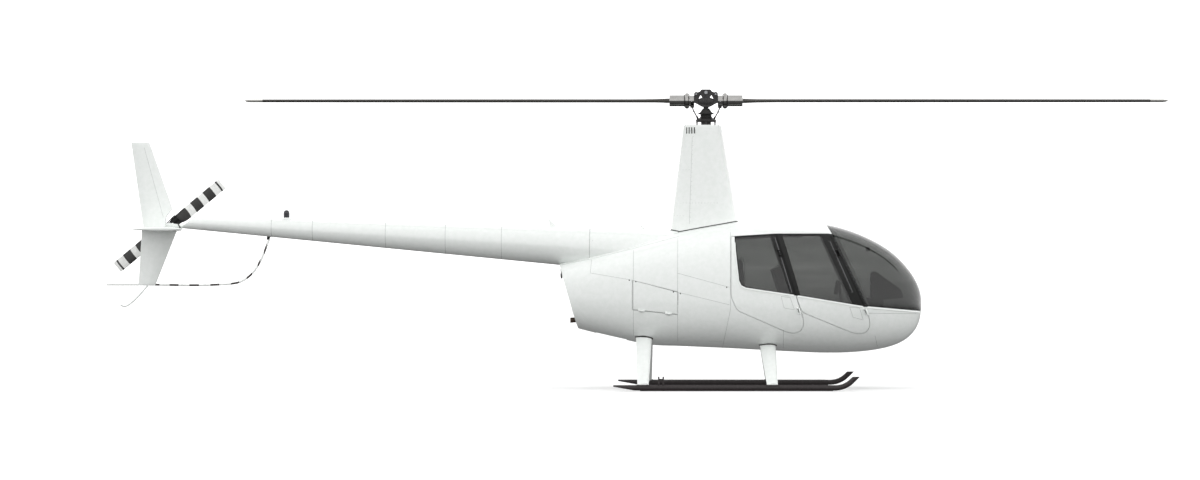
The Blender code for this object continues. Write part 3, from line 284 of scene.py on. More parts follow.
def combine(target, other, operation, keep=False):
    """A Boolean between two closed meshes, applied at once."""
    before = len(target.data.vertices)
    step = target.modifiers.new(operation, "BOOLEAN")
    step.operation, step.object, step.solver = operation, other, "MANIFOLD"
    mesh = bpy.data.meshes.new_from_object(target.evaluated_get(bpy.context.evaluated_depsgraph_get()))
    target.modifiers.clear()
    if len(mesh.vertices) == before and operation == "DIFFERENCE":
        print("   no change:", target.name, operation, other.name)
    old, target.data = target.data, mesh
    bpy.data.meshes.remove(old)
    if not keep:
        bpy.data.objects.remove(other)
    return target


# %% [markdown]
# ## Finishes
# A finish starts from what the real surface is and how it was made. Every one has two close colours that
# wander, a roughness that wanders with them, and a fine relief, all at sizes taken from the real thing. One
# function adds a node, and one builds the common part of a finish.

# %% Nodes and the common finish
def linear(code):
    """sRGB hex to linear: a channel is divided by 12.92 near black, and raised to the power 2.4 above it."""
    srgb = np.array([int(code[i:i + 2], 16) for i in (0, 2, 4)]) / 255
    return (*np.where(srgb <= 0.04045, srgb / 12.92, ((srgb + 0.055) / 1.055) ** 2.4).tolist(), 1.0)


def add(tree, kind, settings=(), inputs=()):
    """One node: settings are its own choices, and an input is a value or the socket that feeds it."""
    made = tree.nodes.new("ShaderNode" + kind)
    for name, value in dict(settings).items():
        if name == "stops":
            ramp = made.color_ramp
            for place, colour in value[1:]:
                ramp.elements.new(place).color = colour
            ramp.elements[0].position, ramp.elements[0].color = value[0]
            ramp.elements.remove(ramp.elements[-1])
        elif name == "interpolation":
            made.color_ramp.interpolation = value
        else:
            setattr(made, name, value)
    for name, value in dict(inputs).items():
        if isinstance(value, bpy.types.NodeSocket):
            tree.links.new(value, made.inputs[name])
        else:
            made.inputs[name].default_value = value
    return made


def finish(name, colour, other, grain, rough, relief, stretch=(1, 1, 1), paint=None, **sockets):
    """A Principled surface. Its two colours and its roughness range follow a noise of the given grain in metres,
    stretched along an axis where the surface was brushed or drawn, and its relief is a height in metres."""
    made = bpy.data.materials.new(name)
    made.use_nodes = True
    tree = made.node_tree
    shader = tree.nodes["Principled BSDF"]
    place = add(tree, "TexCoord").outputs["Object"]
    laid = add(tree, "Mapping", inputs={"Vector": place, "Scale": stretch}).outputs["Vector"]
    broad = add(tree, "TexNoise", inputs={"Vector": laid, "Scale": 1 / (grain * 12), "Detail": 5}).outputs["Fac"]
    fine = add(tree, "TexNoise", inputs={"Vector": laid, "Scale": 1 / grain, "Detail": 3}).outputs["Fac"]
    share = add(tree, "MapRange", inputs={"Value": broad, "From Min": 0.35, "From Max": 0.65}).outputs["Result"]
    base = add(tree, "Mix", {"data_type": "RGBA"}, {0: share, 6: linear(colour), 7: linear(other)}).outputs[2]
    if paint:
        base = paint(tree, place, base)
    tree.links.new(base, shader.inputs["Base Color"])
    level = add(tree, "MapRange", inputs={"Value": fine, "From Min": 0.3, "From Max": 0.7,
                                          "To Min": rough[0], "To Max": rough[1]}).outputs["Result"]
    tree.links.new(level, shader.inputs["Roughness"])
    if relief:
        bump = add(tree, "Bump", inputs={"Height": fine, "Distance": relief, "Strength": 1.0})
        tree.links.new(bump.outputs["Normal"], shader.inputs["Normal"])
    for socket, value in sockets.items():
        shader.inputs[socket.replace("_", " ")].default_value = value
    return made


def fade(axis, low, high, dark):
    """A painter of painted shade: it darkens the colour towards the low end of an axis, between two places on it in
    metres.
    """
    def paint(tree, place, base):
        along = add(tree, "SeparateXYZ", inputs={"Vector": place}).outputs[axis]
        share = add(tree, "MapRange", inputs={"Value": along, "From Min": low, "From Max": high,
                                              "To Min": dark}).outputs["Result"]
        return add(tree, "VectorMath", {"operation": "SCALE"}, {0: base, "Scale": share}).outputs[0]
    return paint


def mesh_of_wires(pitch):
    """A painter for wire cloth in the Y-Z plane: bright where a sine along either axis is near its crest."""
    def paint(tree, place, base):
        apart = add(tree, "SeparateXYZ", inputs={"Vector": place})
        waves = []
        for axis in ("Y", "Z"):
            turned = add(tree, "Math", {"operation": "MULTIPLY"}, {0: apart.outputs[axis], 1: 2 * math.pi / pitch})
            waves.append(add(tree, "Math", {"operation": "SINE"}, {0: turned.outputs[0]}).outputs[0])
        crest = add(tree, "Math", {"operation": "MAXIMUM"}, {0: waves[0], 1: waves[1]}).outputs[0]
        share = add(tree, "MapRange", inputs={"Value": crest, "From Min": 0.6, "From Max": 0.9,
                                              "To Min": 0.12}).outputs["Result"]
        return add(tree, "VectorMath", {"operation": "SCALE"}, {0: base, "Scale": share}).outputs[0]
    return paint


def bands(places, colours):
    """A painter for stripes: a ramp of constant colours along a distance, in metres up to a furthest one."""
    def paint(tree, place, base):
        apart = add(tree, "SeparateXYZ", inputs={"Vector": place})
        axis, centre, furthest, stops = places
        if axis == "radius":
            offset = add(tree, "VectorMath", {"operation": "SUBTRACT"}, {0: place, 1: centre}).outputs[0]
            flat = add(tree, "VectorMath", {"operation": "MULTIPLY"}, {0: offset, 1: (1, 0, 1)}).outputs[0]
            along = add(tree, "VectorMath", {"operation": "LENGTH"}, {0: flat}).outputs["Value"]
        else:
            along = add(tree, "Math", {"operation": "SUBTRACT"}, {0: apart.outputs[axis], 1: centre}).outputs[0]
        share = add(tree, "MapRange", inputs={"Value": along, "From Max": furthest}).outputs["Result"]
        picked = [(stop / furthest, linear(colours[i % 2])) for i, stop in enumerate(stops)]
        ramp = add(tree, "ValToRGB", {"stops": picked, "interpolation": "CONSTANT"}, {"Fac": share})
        tint = add(tree, "Mix", {"data_type": "RGBA", "blend_type": "MULTIPLY"},
                   {0: 1.0, 6: ramp.outputs["Color"], 7: base})
        return tint.outputs[2]
    return paint


# %% [markdown]
# ## Paint, plastic and metal
# The airframe wears two-pack enamel, which gives a hard wet gloss over a faint orange peel. Frames and trim are
# satin black. The skids are powder coated, which gives a dull charcoal with a fine grit. Windows are smoked
# acrylic: grey through their thickness, with a weak clear reflection, and darkened towards the foot by painted
# shade that stands for the dark cabin behind. The blade grips carry a painted reflection: their lower half is
# darkened for the dark ground below.

# %% The finishes
ENAMEL = finish("two_pack_enamel_white", "EEF1EF", "E9EDEA", 0.004, (0.16, 0.22), 0.00003,
                Coat_Weight=0.4, Coat_Roughness=0.05)
SATIN_BLACK = finish("satin_enamel_black", "121312", "1B1C1B", 0.003, (0.4, 0.55), 0.00004, Specular_IOR_Level=0.25)
POWDER = finish("powder_coat_charcoal", "2C2828", "363031", 0.0015, (0.45, 0.6), 0.00006, Specular_IOR_Level=0.35)
SEAM_LINE = finish("seam_sealant_grey", "959996", "A1A5A2", 0.002, (0.6, 0.75), 0.00002)
RUBBER = finish("moulded_rubber", "232323", "2E2D2C", 0.002, (0.7, 0.85), 0.00005)
BLADE_PAINT = finish("matt_polyurethane_grey", "F4F3F1", "E9E7E4", 0.004, (0.5, 0.65), 0.00003,
                     paint=bands(("radius", (MAST_X, 0, 3.134), 5.2, (0, 4.82)), ("3E3C38", "BEBEBB")))
CAST = finish("cast_aluminium_satin", "A9AAAB", "BCBDBE", 0.0015, (0.3, 0.45), 0.00006, Metallic=1.0)
STEEL = finish("ground_steel", "8B8C8E", "9C9DA0", 0.001, (0.25, 0.4), 0.00002, stretch=(1, 1, 12), Metallic=1.0)
DARK_METAL = finish("black_anodised_aluminium", "2A292A", "3A3838", 0.0015, (0.35, 0.5), 0.00004, Metallic=0.4)
TRIM = finish("moulded_abs_charcoal", "2B2B2A", "343432", 0.0008, (0.6, 0.75), 0.00008)
CARPET = finish("loop_pile_carpet", "2A2B2C", "3A3B3C", 0.004, (0.9, 1.0), 0.001)
LEATHER = finish("grained_leather_black", "232221", "2E2C2B", 0.0015, (0.45, 0.6), 0.0002)
LENS = finish("tinted_polycarbonate", "14161F", "1C1F2A", 0.003, (0.08, 0.14), 0.0, Coat_Weight=0.5)
# Smoked acrylic, grey through its thickness; towards the foot of each pane its colour is darkened as painted shade for
# the dark cabin seen through the lower glass.
SMOKED_ACRYLIC_PAINTED_SHADE = finish("smoked_acrylic_painted_shade", "868886", "737573", 0.02, (0.0, 0.02), 0.0, stretch=(0.25, 0.25, 2.2),
                paint=fade("Z", 0.86, 1.22, 0.45), Transmission_Weight=1.0, IOR=1.49, Specular_IOR_Level=0.35)
WIRE_CLOTH = finish("galvanised_wire_cloth", "5C5D5C", "6A6B6B", 0.002, (0.4, 0.55), 0.0001,
                    paint=mesh_of_wires(0.014), Metallic=0.6)
# Polished grip alloy, one even grey; its lower half is darkened by a painted reflection of the dark ground below.
GRIP_ALLOY_PAINTED_REFLECTION = finish("polished_grip_alloy", "9C9B99", "A8A7A5", 0.003, (0.10, 0.16), 0.00002,
                   paint=fade("Z", 3.090, 3.150, 0.22), Metallic=1.0)
ENGINE_GREY = finish("sand_cast_aluminium", "7B7D7E", "8D8F90", 0.002, (0.5, 0.65), 0.00015, Metallic=0.9)

# %% [markdown]
# ## The body's shape
# The cabin and the cowling are one egg-like body. At each distance aft of the nose, its section is an upper and
# a lower superellipse that share one widest line. A short table gives the top, the bottom, the half width and
# the height of that line, and a cubic in the root of the distance joins the rows, so the nose is round.

# %% The body as formulas
NOSE_X = 2.352
NOSE_Z = 0.938
BODY = np.array((
    (0.00, 0.938, 0.938, 0.000, 0.938), (0.04, 1.127, 0.700, 0.185, 0.935), (0.16, 1.319, 0.545, 0.345, 0.935),
    (0.32, 1.479, 0.464, 0.452, 0.940), (0.55, 1.622, 0.414, 0.537, 0.950), (0.82, 1.731, 0.390, 0.592, 0.955),
    (1.05, 1.787, 0.387, 0.620, 0.960), (1.38, 1.810, 0.399, 0.638, 0.960), (1.70, 1.818, 0.415, 0.642, 0.965),
    (2.05, 1.812, 0.434, 0.640, 0.975), (2.64, 1.705, 0.460, 0.592, 0.990), (2.95, 1.625, 0.473, 0.550, 1.000),
    (3.20, 1.553, 0.520, 0.508, 1.005), (3.60, 1.447, 0.614, 0.430, 1.015), (4.10, 1.318, 0.745, 0.330, 1.020)))
UPPER_POWER, LOWER_POWER = 2.6, 2.7


def section(root):
    """Top, bottom, half width and widest height at the root of a distance aft: a cubic Hermite per column whose
    slopes are the mean of the neighbouring chords, and level where the column turns."""
    x, columns = np.sqrt(BODY[:, 0]), BODY[:, 1:]
    chord = np.diff(columns, axis=0) / np.diff(x)[:, None]
    inner = np.where(chord[1:] * chord[:-1] <= 0, 0, (chord[1:] + chord[:-1]) / 2)
    slope = np.concatenate([chord[:1], inner, chord[-1:]])
    root = np.asarray(root, float)
    i = np.clip(np.searchsorted(x, root) - 1, 0, len(x) - 2)
    step = (x[i + 1] - x[i])[..., None]
    t = (root - x[i])[..., None] / step
    value = ((1 + 2 * t) * (1 - t) ** 2 * columns[i] + t * (1 - t) ** 2 * step * slope[i]
             + t * t * (3 - 2 * t) * columns[i + 1] + t * t * (t - 1) * step * slope[i + 1])
    return np.moveaxis(value, -1, 0)


def level(points):
    """The body as a level set: (|y| / half width) and (|z - widest| / height), each to the section's power,
    add up to 1 on the skin."""
    x, y, z = np.moveaxis(np.asarray(points, float), -1, 0)
    top, bottom, half, waist = section(np.sqrt(np.maximum(NOSE_X - x, 1e-6)))
    power = np.where(z >= waist, UPPER_POWER, LOWER_POWER)
    height = np.where(z >= waist, top - waist, waist - bottom)
    return (np.abs(y) / half) ** power + (np.abs(z - waist) / height) ** power


def slope_of(field, points):
    """The unit outward direction of a level set, from central differences of half a millimetre."""
    step = np.eye(3) * 0.0005
    found = np.stack([field(points + step[i]) - field(points - step[i]) for i in range(3)], axis=-1)
    return found / np.maximum(np.linalg.norm(found, axis=-1, keepdims=True), 1e-12)


def side_of_body(x, z):
    """The half width of the skin at points of the side view."""
    x, z = np.broadcast_arrays(np.asarray(x, float), np.asarray(z, float))
    top, bottom, half, waist = section(np.sqrt(np.maximum(NOSE_X - x, 1e-6)))
    power = np.where(z >= waist, UPPER_POWER, LOWER_POWER)
    height = np.where(z >= waist, top - waist, waist - bottom)
    return half * np.maximum(0, 1 - (np.abs(z - waist) / height) ** power) ** (1 / power)


def body_grid(inset, stations=150, around=144, last=2.02):
    """The skin taken in by a depth along its normals: y is half width and z is height times signed powers of the
    cosine and sine of an angle, whose steps are even along a typical section."""
    dense = np.linspace(0, 2 * np.pi, 2881)
    power = np.where(np.sin(dense) >= 0, UPPER_POWER, LOWER_POWER)
    y = np.sign(np.cos(dense)) * np.abs(np.cos(dense)) ** (2 / power) * 0.62
    z = np.sign(np.sin(dense)) * np.abs(np.sin(dense)) ** (2 / power) * 0.75
    walked = np.concatenate([[0], np.cumsum(np.hypot(np.diff(y), np.diff(z)))])
    angle = np.interp(np.arange(around) / around * walked[-1], walked, dense)
    root = np.linspace(0.035, last, stations)

    def at(root, angle):
        top, bottom, half, waist = section(root)
        power = np.where(np.sin(angle) >= 0, UPPER_POWER, LOWER_POWER)
        height = np.where(np.sin(angle) >= 0, top - waist, waist - bottom)
        y = half * np.sign(np.cos(angle)) * np.abs(np.cos(angle)) ** (2 / power)
        z = waist + height * np.sign(np.sin(angle)) * np.abs(np.sin(angle)) ** (2 / power)
        return np.stack([NOSE_X - root ** 2 + 0 * y, y, z], axis=-1)

    stations, turns = np.meshgrid(root, angle, indexing="ij")
    points = at(stations, turns)
    normal = np.cross(at(stations, turns + 1e-4) - at(stations, turns - 1e-4),
                      at(stations + 1e-4, turns) - at(stations - 1e-4, turns))
    normal /= np.linalg.norm(normal, axis=-1, keepdims=True)
    outward_sign = np.sign((normal[..., 1:] * (points[..., 1:] - (0, 1.0))).sum())
    return points - outward_sign * inset * normal


def body_shape(inset):
    """The closed body at a depth, its nose closed on one tip point."""
    points, quads = grid_shape(body_grid(inset))
    tip = len(points) - 2
    points[tip] = (NOSE_X - inset, 0, NOSE_Z)
    return outward((points, quads))


def layer(name, outer, inner, outline, low=-0.95, high=-0.04):
    """The part of the body's wall between two depths that lies inside an outline of the side view."""
    shell = mesh_object(name, body_shape(outer))
    combine(shell, mesh_object("inside", body_shape(inner)), "DIFFERENCE")
    return combine(shell, mesh_object("region", prism(outline, low, high)), "INTERSECT")


print("body:", len(body_shape(0)[0]), "points; half width at the doors", round(float(side_of_body(0.7, 1.2)), 3))

# %% [markdown]
# ## Polishing cut skins
# A Boolean leaves long thin triangles along its cuts, and ordinary smooth shading would show each of them. The
# skin's true direction is known from its formula, so each corner takes it, wherever the face follows the skin.

# %% True shading on cut skins
BOOM_SEAM_X, BOOM_FRONT_X = -1.262, -0.30
BOOM_SLOPE, BOOM_Z0 = -0.0628, 1.449
BOOM_R0, BOOM_TAPER = 0.263, 0.0347


def boom_level(points):
    """The boom as a level set: distance from its axis less the radius there."""
    x, y, z = np.moveaxis(np.asarray(points, float), -1, 0)
    return np.hypot(y, (z - BOOM_Z0 - BOOM_SLOPE * x)) - BOOM_R0 - BOOM_TAPER * x


def polish(piece, *fields):
    """Corner normals from the level sets where a face runs along one of them, and the face's own elsewhere."""
    mesh = piece.data
    mesh.shade_smooth()
    count = len(mesh.loops)
    points = np.empty(len(mesh.vertices) * 3)
    mesh.vertices.foreach_get("co", points)
    points = points.reshape(-1, 3) - (MAST_X, 0, 0)
    corner = np.empty(count, np.int32)
    mesh.loops.foreach_get("vertex_index", corner)
    face_normal = np.empty(len(mesh.polygons) * 3)
    mesh.polygons.foreach_get("normal", face_normal)
    totals = np.empty(len(mesh.polygons), np.int32)
    mesh.polygons.foreach_get("loop_total", totals)
    flat = np.repeat(face_normal.reshape(-1, 3), totals, axis=0)
    best, chosen = np.full(count, 0.92), flat.copy()
    for field in fields:
        direction = slope_of(field, points)[corner]
        match = (direction * flat).sum(axis=1)
        better = np.abs(match) > best
        chosen[better] = (direction * np.sign(match)[:, None])[better]
        best = np.where(better, np.abs(match), best)
    mesh.normals_split_custom_set(chosen.tolist())
    return piece


def both_sides(piece, name):
    """The mirror image of a mesh object, its faces turned to point out again."""
    made = piece.copy()
    made.data = piece.data.copy()
    made.name = name
    bpy.context.scene.collection.objects.link(made)
    count = len(made.data.vertices)
    points = np.empty(count * 3)
    made.data.vertices.foreach_get("co", points)
    made.data.vertices.foreach_set("co", (points.reshape(-1, 3) * (1, -1, 1)).ravel())
    made.data.flip_normals()
    return made


# %% [markdown]
# ## Cabin shell
# The shell is the body's wall from the nose to the cabin seam, with the windshield and four doors cut out. It is
# painted white below the windows and black between them, so that the glazing reads as one dark band. Cutting
# with straight prisms, as a fitter cuts with a router on a jig, gives edges that agree with the doors.

# %% Outlines in the side view
CABIN_WALL, DOOR_SKIN, JAMB, GAP = 0.030, 0.012, 0.058, 0.0045
CABIN_REGION = ((0.266, 2.3), (0.266, 0.864), (0.172, 0.40), (0.172, 0.2), (2.7, 0.2), (2.7, 2.3))
WINDSHIELD = ((1.306, 1.787), (1.368, 1.673), (1.742, 0.898), (2.45, 0.832), (2.45, 2.1), (1.143, 2.1))
FRONT_DOOR = rounded(((0.760, 1.680), (1.338, 1.680), (1.706, 0.902), (1.762, 0.772), (1.772, 0.690),
                      (1.738, 0.622), (1.660, 0.598), (1.570, 0.618), (1.037, 0.838), (0.993, 0.960)),
                     (0.006, 0.006, 0.05, 0.05, 0.05, 0.05, 0.05, 0.05, 0.05, 0.05))
REAR_DOOR = rounded(((0.2745, 1.650), (0.752, 1.680), (0.985, 0.960), (1.000, 0.910), (1.040, 0.800),
                     (1.056, 0.706), (1.028, 0.640), (0.966, 0.606), (0.880, 0.618), (0.340, 0.856),
                     (0.2745, 1.000)),
                    (0.006, 0.006, 0.03, 0.03, 0.05, 0.05, 0.05, 0.05, 0.05, 0.03, 0.05))
FRONT_WINDOW = rounded(((0.829, 1.662), (1.248, 1.662), (1.577, 0.930), (1.550, 0.924), (1.050, 1.000),
                        (1.022, 1.008)), (0.02, 0.02, 0.01, 0.01, 0.01, 0.01))
REAR_WINDOW = rounded(((0.322, 1.640), (0.699, 1.662), (0.906, 1.034), (0.882, 1.031), (0.440, 1.104),
                       (0.392, 1.128), (0.368, 1.175)), (0.01, 0.02, 0.01, 0.01, 0.03, 0.03, 0.03))
BAND = ((0.310, 1.652), (0.318, 1.500), (0.354, 1.175), (0.378, 1.122), (0.432, 1.094), (1.024, 1.006),
        (1.700, 0.893), (1.755, 0.890), (1.380, 1.672), (1.372, 1.6805), (0.756, 1.6805), (0.55, 1.668))
DOOR_SWEEP = ((1.050, 1.600), (1.050, 1.672), (1.335, 1.672), (1.380, 1.570), (1.300, 1.550))
BOTH_DOORS = ((0.235, 1.72), (1.40, 1.72), (1.79, 0.86), (1.84, 0.66), (1.70, 0.545), (1.50, 0.565),
              (1.10, 0.735), (1.10, 0.560), (0.86, 0.560), (0.30, 0.81), (0.235, 0.96))
DOORS = {"front": (FRONT_DOOR, FRONT_WINDOW, (1.736, 0.840), (1.438, 1.475)),
         "rear": (REAR_DOOR, REAR_WINDOW, (1.0125, 0.850), (0.808, 1.475))}


def side_prism(outline, low=-0.95, high=-0.04):
    return mesh_object("cutter", prism(outline, low, high))


def twin(piece, name):
    """A second object with its own copy of the mesh."""
    made = piece.copy()
    made.data = piece.data.copy()
    made.name = name
    bpy.context.scene.collection.objects.link(made)
    return made


def parted(piece, name, outline, low=-1.0, high=1.0):
    """Parts a mesh along an outline of the side view, and returns what lies inside it as a piece of its own."""
    inside = combine(twin(piece, name), side_prism(outline, low, high), "INTERSECT")
    combine(piece, side_prism(outline, low, high), "DIFFERENCE")
    return inside


# %% [markdown]
# ## Hinges
# Each door turns on two hinges that stand outside the skin, with a fixed knuckle between two moving ones. The
# hinge line is straight while the body bulges, so it stands off by the bulge and 12 mm more. The moving knuckles
# ride with the door, and the fixed ones with the airframe.

# %% Hinge lines and knuckles
KNUCKLE_RADIUS, KNUCKLE_LENGTH, LUG_LENGTH, KNUCKLE_SLIT = 0.008, 0.040, 0.014, 0.0009


def hinge_line(low, high):
    """Two points of a right-hand hinge line, and the unit direction from the first to the second."""
    share = np.linspace(0, 1, 21)
    spots = np.asarray(low) + share[:, None] * np.subtract(high, low)
    width = side_of_body(*spots.T)
    bulge = (width - (1 - share) * width[0] - share * width[-1]).max()
    ends = np.stack([spots[:, 0], -width - bulge - 0.012, spots[:, 1]], axis=1)[[0, -1]]
    return ends, (ends[1] - ends[0]) / np.linalg.norm(ends[1] - ends[0])


def knuckle(centre, along, landing, length, thick):
    """A round knuckle and the plate that joins it to a landing point."""
    out = landing - centre
    across = np.cross(along, out / np.linalg.norm(out))
    corners = [along * a * length * 0.34 + across * b * thick / 2 for a, b in ((-1, -1), (1, -1), (1, 1), (-1, 1))]
    plate = np.stack([np.stack([centre + out * share + corner for corner in corners]) for share in (0.0, 1.0)])
    barrel = rod(centre - along * length / 2, centre + along * length / 2, KNUCKLE_RADIUS)
    screw = [rod(centre + out * 0.75 + along * a * length * 0.2 - across * thick,
                 centre + out * 0.75 + along * a * length * 0.2 + across * thick, 0.0035, sides=8) for a in (-1, 1)]
    return merged(barrel, outward(grid_shape(plate)), *screw)


def door_hinges(low, high, depth=0.015, back=0.030):
    """Two hinges of one right-hand door, each a fixed knuckle and its pair of moving lugs."""
    ends, along = hinge_line(low, high)
    hinges = []
    for spot in ends:
        moving = []
        inner = np.array((spot[0], -side_of_body(spot[0], spot[2]) + 0.048, spot[2]))
        for way in (-1, 1):
            centre = spot + along * way * (KNUCKLE_LENGTH / 2 + KNUCKLE_SLIT + LUG_LENGTH / 2)
            skin = -side_of_body(centre[0] - back, centre[2]) + depth
            moving.append(knuckle(centre, along, np.array((centre[0] - back, skin, centre[2])), LUG_LENGTH, 0.010))
        hinges.append((knuckle(spot, along, inner, KNUCKLE_LENGTH, 0.006), merged(*moving)))
    return ends, along, hinges


# %% The shell
shell = mesh_object("cabin_shell_skin", body_shape(0.0))
combine(shell, mesh_object("inside", body_shape(CABIN_WALL)), "DIFFERENCE")
combine(shell, side_prism(CABIN_REGION, -1, 1), "INTERSECT")
combine(shell, side_prism(WINDSHIELD, -1, 1), "DIFFERENCE")
liner = layer("liner", CABIN_WALL - 0.002, JAMB, BOTH_DOORS)
combine(liner, side_prism(grown(CABIN_REGION, -0.001), -1, 1), "INTERSECT")
for outline, *_ in DOORS.values():
    combine(liner, side_prism(grown(outline, -0.032)), "DIFFERENCE")
combine(liner, side_prism(DOOR_SWEEP), "DIFFERENCE")
combine(shell, both_sides(liner, "liner_left"), "UNION")
combine(shell, liner, "UNION")
for outline, *_ in DOORS.values():
    for low, high in ((-0.95, -0.04), (0.04, 0.95)):
        hole = side_prism(grown(outline, GAP), low, high)
        combine(hole, mesh_object("inside", body_shape(CABIN_WALL + 0.008)), "DIFFERENCE")
        combine(shell, hole, "DIFFERENCE")
pillars = parted(shell, "window_pillars", BAND)
for piece, paint, slot in ((shell, ENAMEL, "white_paint"), (pillars, SATIN_BLACK, "black_paint")):
    polish(piece, level)
    carry(piece, paint, "airframe", slot, "cabin_shell")
print("cabin shell:", len(shell.data.polygons), "faces; pillars:", len(pillars.data.polygons))

# %% [markdown]
# ## Doors
# A door is two layers of the body's wall: an outer skin with the door's full outline, and a smaller pan inside
# it, so that its edge can swing past the jamb. The frame round the window is black and the panel below is white.

# %% Doors and their windows
for where, (outline, window, hinge_low, hinge_high) in DOORS.items():
    ends, along, hinges = door_hinges(hinge_low, hinge_high)
    skin = layer("skin", 0.0, DOOR_SKIN, outline)
    pan = layer("pan", DOOR_SKIN - 0.002, CABIN_WALL, grown(outline, -0.014))
    combine(pan, mesh_object("above", rounded_box((0, -1, 1.640), (3, 1, 2.2), 0.001)), "DIFFERENCE")
    combine(skin, pan, "UNION")
    combine(skin, side_prism(window), "DIFFERENCE")
    lean = along[[0, 2]] / np.linalg.norm(along[[0, 2]]) * (KNUCKLE_LENGTH / 2 + 0.008)
    for spot in ends:
        near, far = spot[[0, 2]] + (0.020, 0), spot[[0, 2]] - (0.020, 0)
        combine(skin, side_prism((near - lean, near + lean, far + lean, far - lean)), "DIFFERENCE")
    rim = parted(skin, "rim", BAND, -0.95, -0.04)
    pane = layer("pane", 0.001, 0.005, grown(window, 0.004))
    for side in ("left", "right"):
        for piece, look, paint, slot, node in (
            (skin, "panel", ENAMEL, "white_paint", "door_{}_{}"), (rim, "frame", SATIN_BLACK, "black_paint", "door_{}_{}"),
            (pane, "pane", SMOKED_ACRYLIC_PAINTED_SHADE, "tinted_acrylic", "door_window_{}_{}"),
        ):
            name = f"{where}_door_{look}_{side}"
            made = both_sides(piece, name) if side == "left" else piece
            made.name = name
            polish(made, level)
            carry(made, paint, f"{where}_door_{side}", slot, node.format(where, side))
    for (fixed, moving), place, paint, slot in zip(hinges, ("lower", "upper"), (ENAMEL, SATIN_BLACK),
                                                   ("white_paint", "black_paint")):
        for side, lugs in (("right", moving), ("left", mirrored(moving))):
            make(f"{where}_door_{place}_lugs_{side}", lugs, paint, f"{where}_door_{side}", slot,
                 f"door_{where}_{side}")
        make(f"{where}_door_{place}_brackets", merged(fixed, mirrored(fixed)), paint, "airframe", slot,
             "cabin_shell")

# %% [markdown]
# ## Windshield
# Two curved panes meet at a thin centre post. They follow the same skin as the shell, six millimetres thick.

# %% Windshield
glass = layer("windshield_right_pane", 0.0, 0.006, grown(WINDSHIELD, -0.001), -1, -0.018)
glass_left = both_sides(glass, "windshield_left_pane")
post = layer("windshield_centre_post", 0.0, 0.045, grown(WINDSHIELD, -0.001), -0.0175, 0.0175)
for piece, paint, slot, node in ((glass, SMOKED_ACRYLIC_PAINTED_SHADE, "tinted_acrylic", "windshield_right"),
                                 (glass_left, SMOKED_ACRYLIC_PAINTED_SHADE, "tinted_acrylic", "windshield_left"),
                                 (post, SATIN_BLACK, "black_paint", "windshield_post")):
    polish(piece, level)
    carry(piece, paint, "airframe", slot, node)
print("glazing: six panes and a post")

# %% [markdown]
# ## Engine cowling
# Behind the cabin the same skin runs on as the engine's cowling, joined to the cone that the boom grows from.
# It is a thin hollow shell with a hinged door on each side, a hole for the mast and a cooling hole in the belly.

# %% The cowling
COWL_WALL = 0.012
COWL_DOOR = rounded(((-0.791, 1.176), (-0.301, 1.052), (-0.306, 0.811), (-0.791, 0.862)), 0.008)
REAR_FACE = ((-1.588, 1.331), (-1.391, 0.660))


def boom_shape(stations, inset=0.0, around=96):
    """Rings square to X: at each station a circle of the boom's radius about its sloping axis."""
    x = np.asarray(stations, float)[:, None]
    angle = np.arange(around)[None] * 2 * np.pi / around
    radius = BOOM_R0 + BOOM_TAPER * x - inset
    points = (x + 0 * angle, radius * np.cos(angle), BOOM_Z0 + BOOM_SLOPE * x + radius * np.sin(angle))
    return outward(grid_shape(np.stack(points, axis=-1)))


def boom_object(stations, inset=0.0):
    return mesh_object("cone", boom_shape(stations, inset))


lean_back = (REAR_FACE[0][0] - REAR_FACE[1][0]) / (REAR_FACE[0][1] - REAR_FACE[1][1])
behind = [(REAR_FACE[1][0] + lean_back * (z - REAR_FACE[1][1]), z) for z in (2.3, 0.2)]
seam = 0.2656
region = ((seam, 2.3), (seam, 0.864), (seam - 0.094, 0.40), (seam - 0.094, 0.2), behind[1], behind[0])
cowl = mesh_object("cowling_skin", body_shape(0.0))
combine(cowl, boom_object((BOOM_SEAM_X, -0.9, -0.5, BOOM_FRONT_X)), "UNION")
hollow = mesh_object("hollow", body_shape(COWL_WALL))
combine(hollow, boom_object((BOOM_SEAM_X - 0.05, -0.9, -0.5, BOOM_FRONT_X - 0.02), COWL_WALL), "UNION")
combine(cowl, hollow, "DIFFERENCE")
combine(cowl, side_prism(region, -1, 1), "INTERSECT")
combine(cowl, boom_object((BOOM_SEAM_X + 0.0004, -1.9), -0.0004), "DIFFERENCE")
combine(cowl, mesh_object("mast_hole", rod((0, 0, 1.5), (0, 0, 1.95), 0.085, sides=48)), "DIFFERENCE")
belly = prism(rounded(((-1.20, -0.15), (-0.86, -0.18), (-0.86, 0.18), (-1.20, 0.15)), 0.04), 0.3, 0.75, "Z")
combine(cowl, mesh_object("belly", belly), "DIFFERENCE")
combine(cowl, mesh_object("pipe", rod((-1.30, -0.12, 0.750), (-1.60, -0.12, 0.735), 0.034, sides=32)), "DIFFERENCE")
for low, high in ((-0.9, -0.2), (0.2, 0.9)):
    combine(cowl, side_prism(grown(COWL_DOOR, GAP), low, high), "DIFFERENCE")
polish(cowl, level, boom_level)
carry(cowl, ENAMEL, "airframe", "white_paint", "aft_cowling")

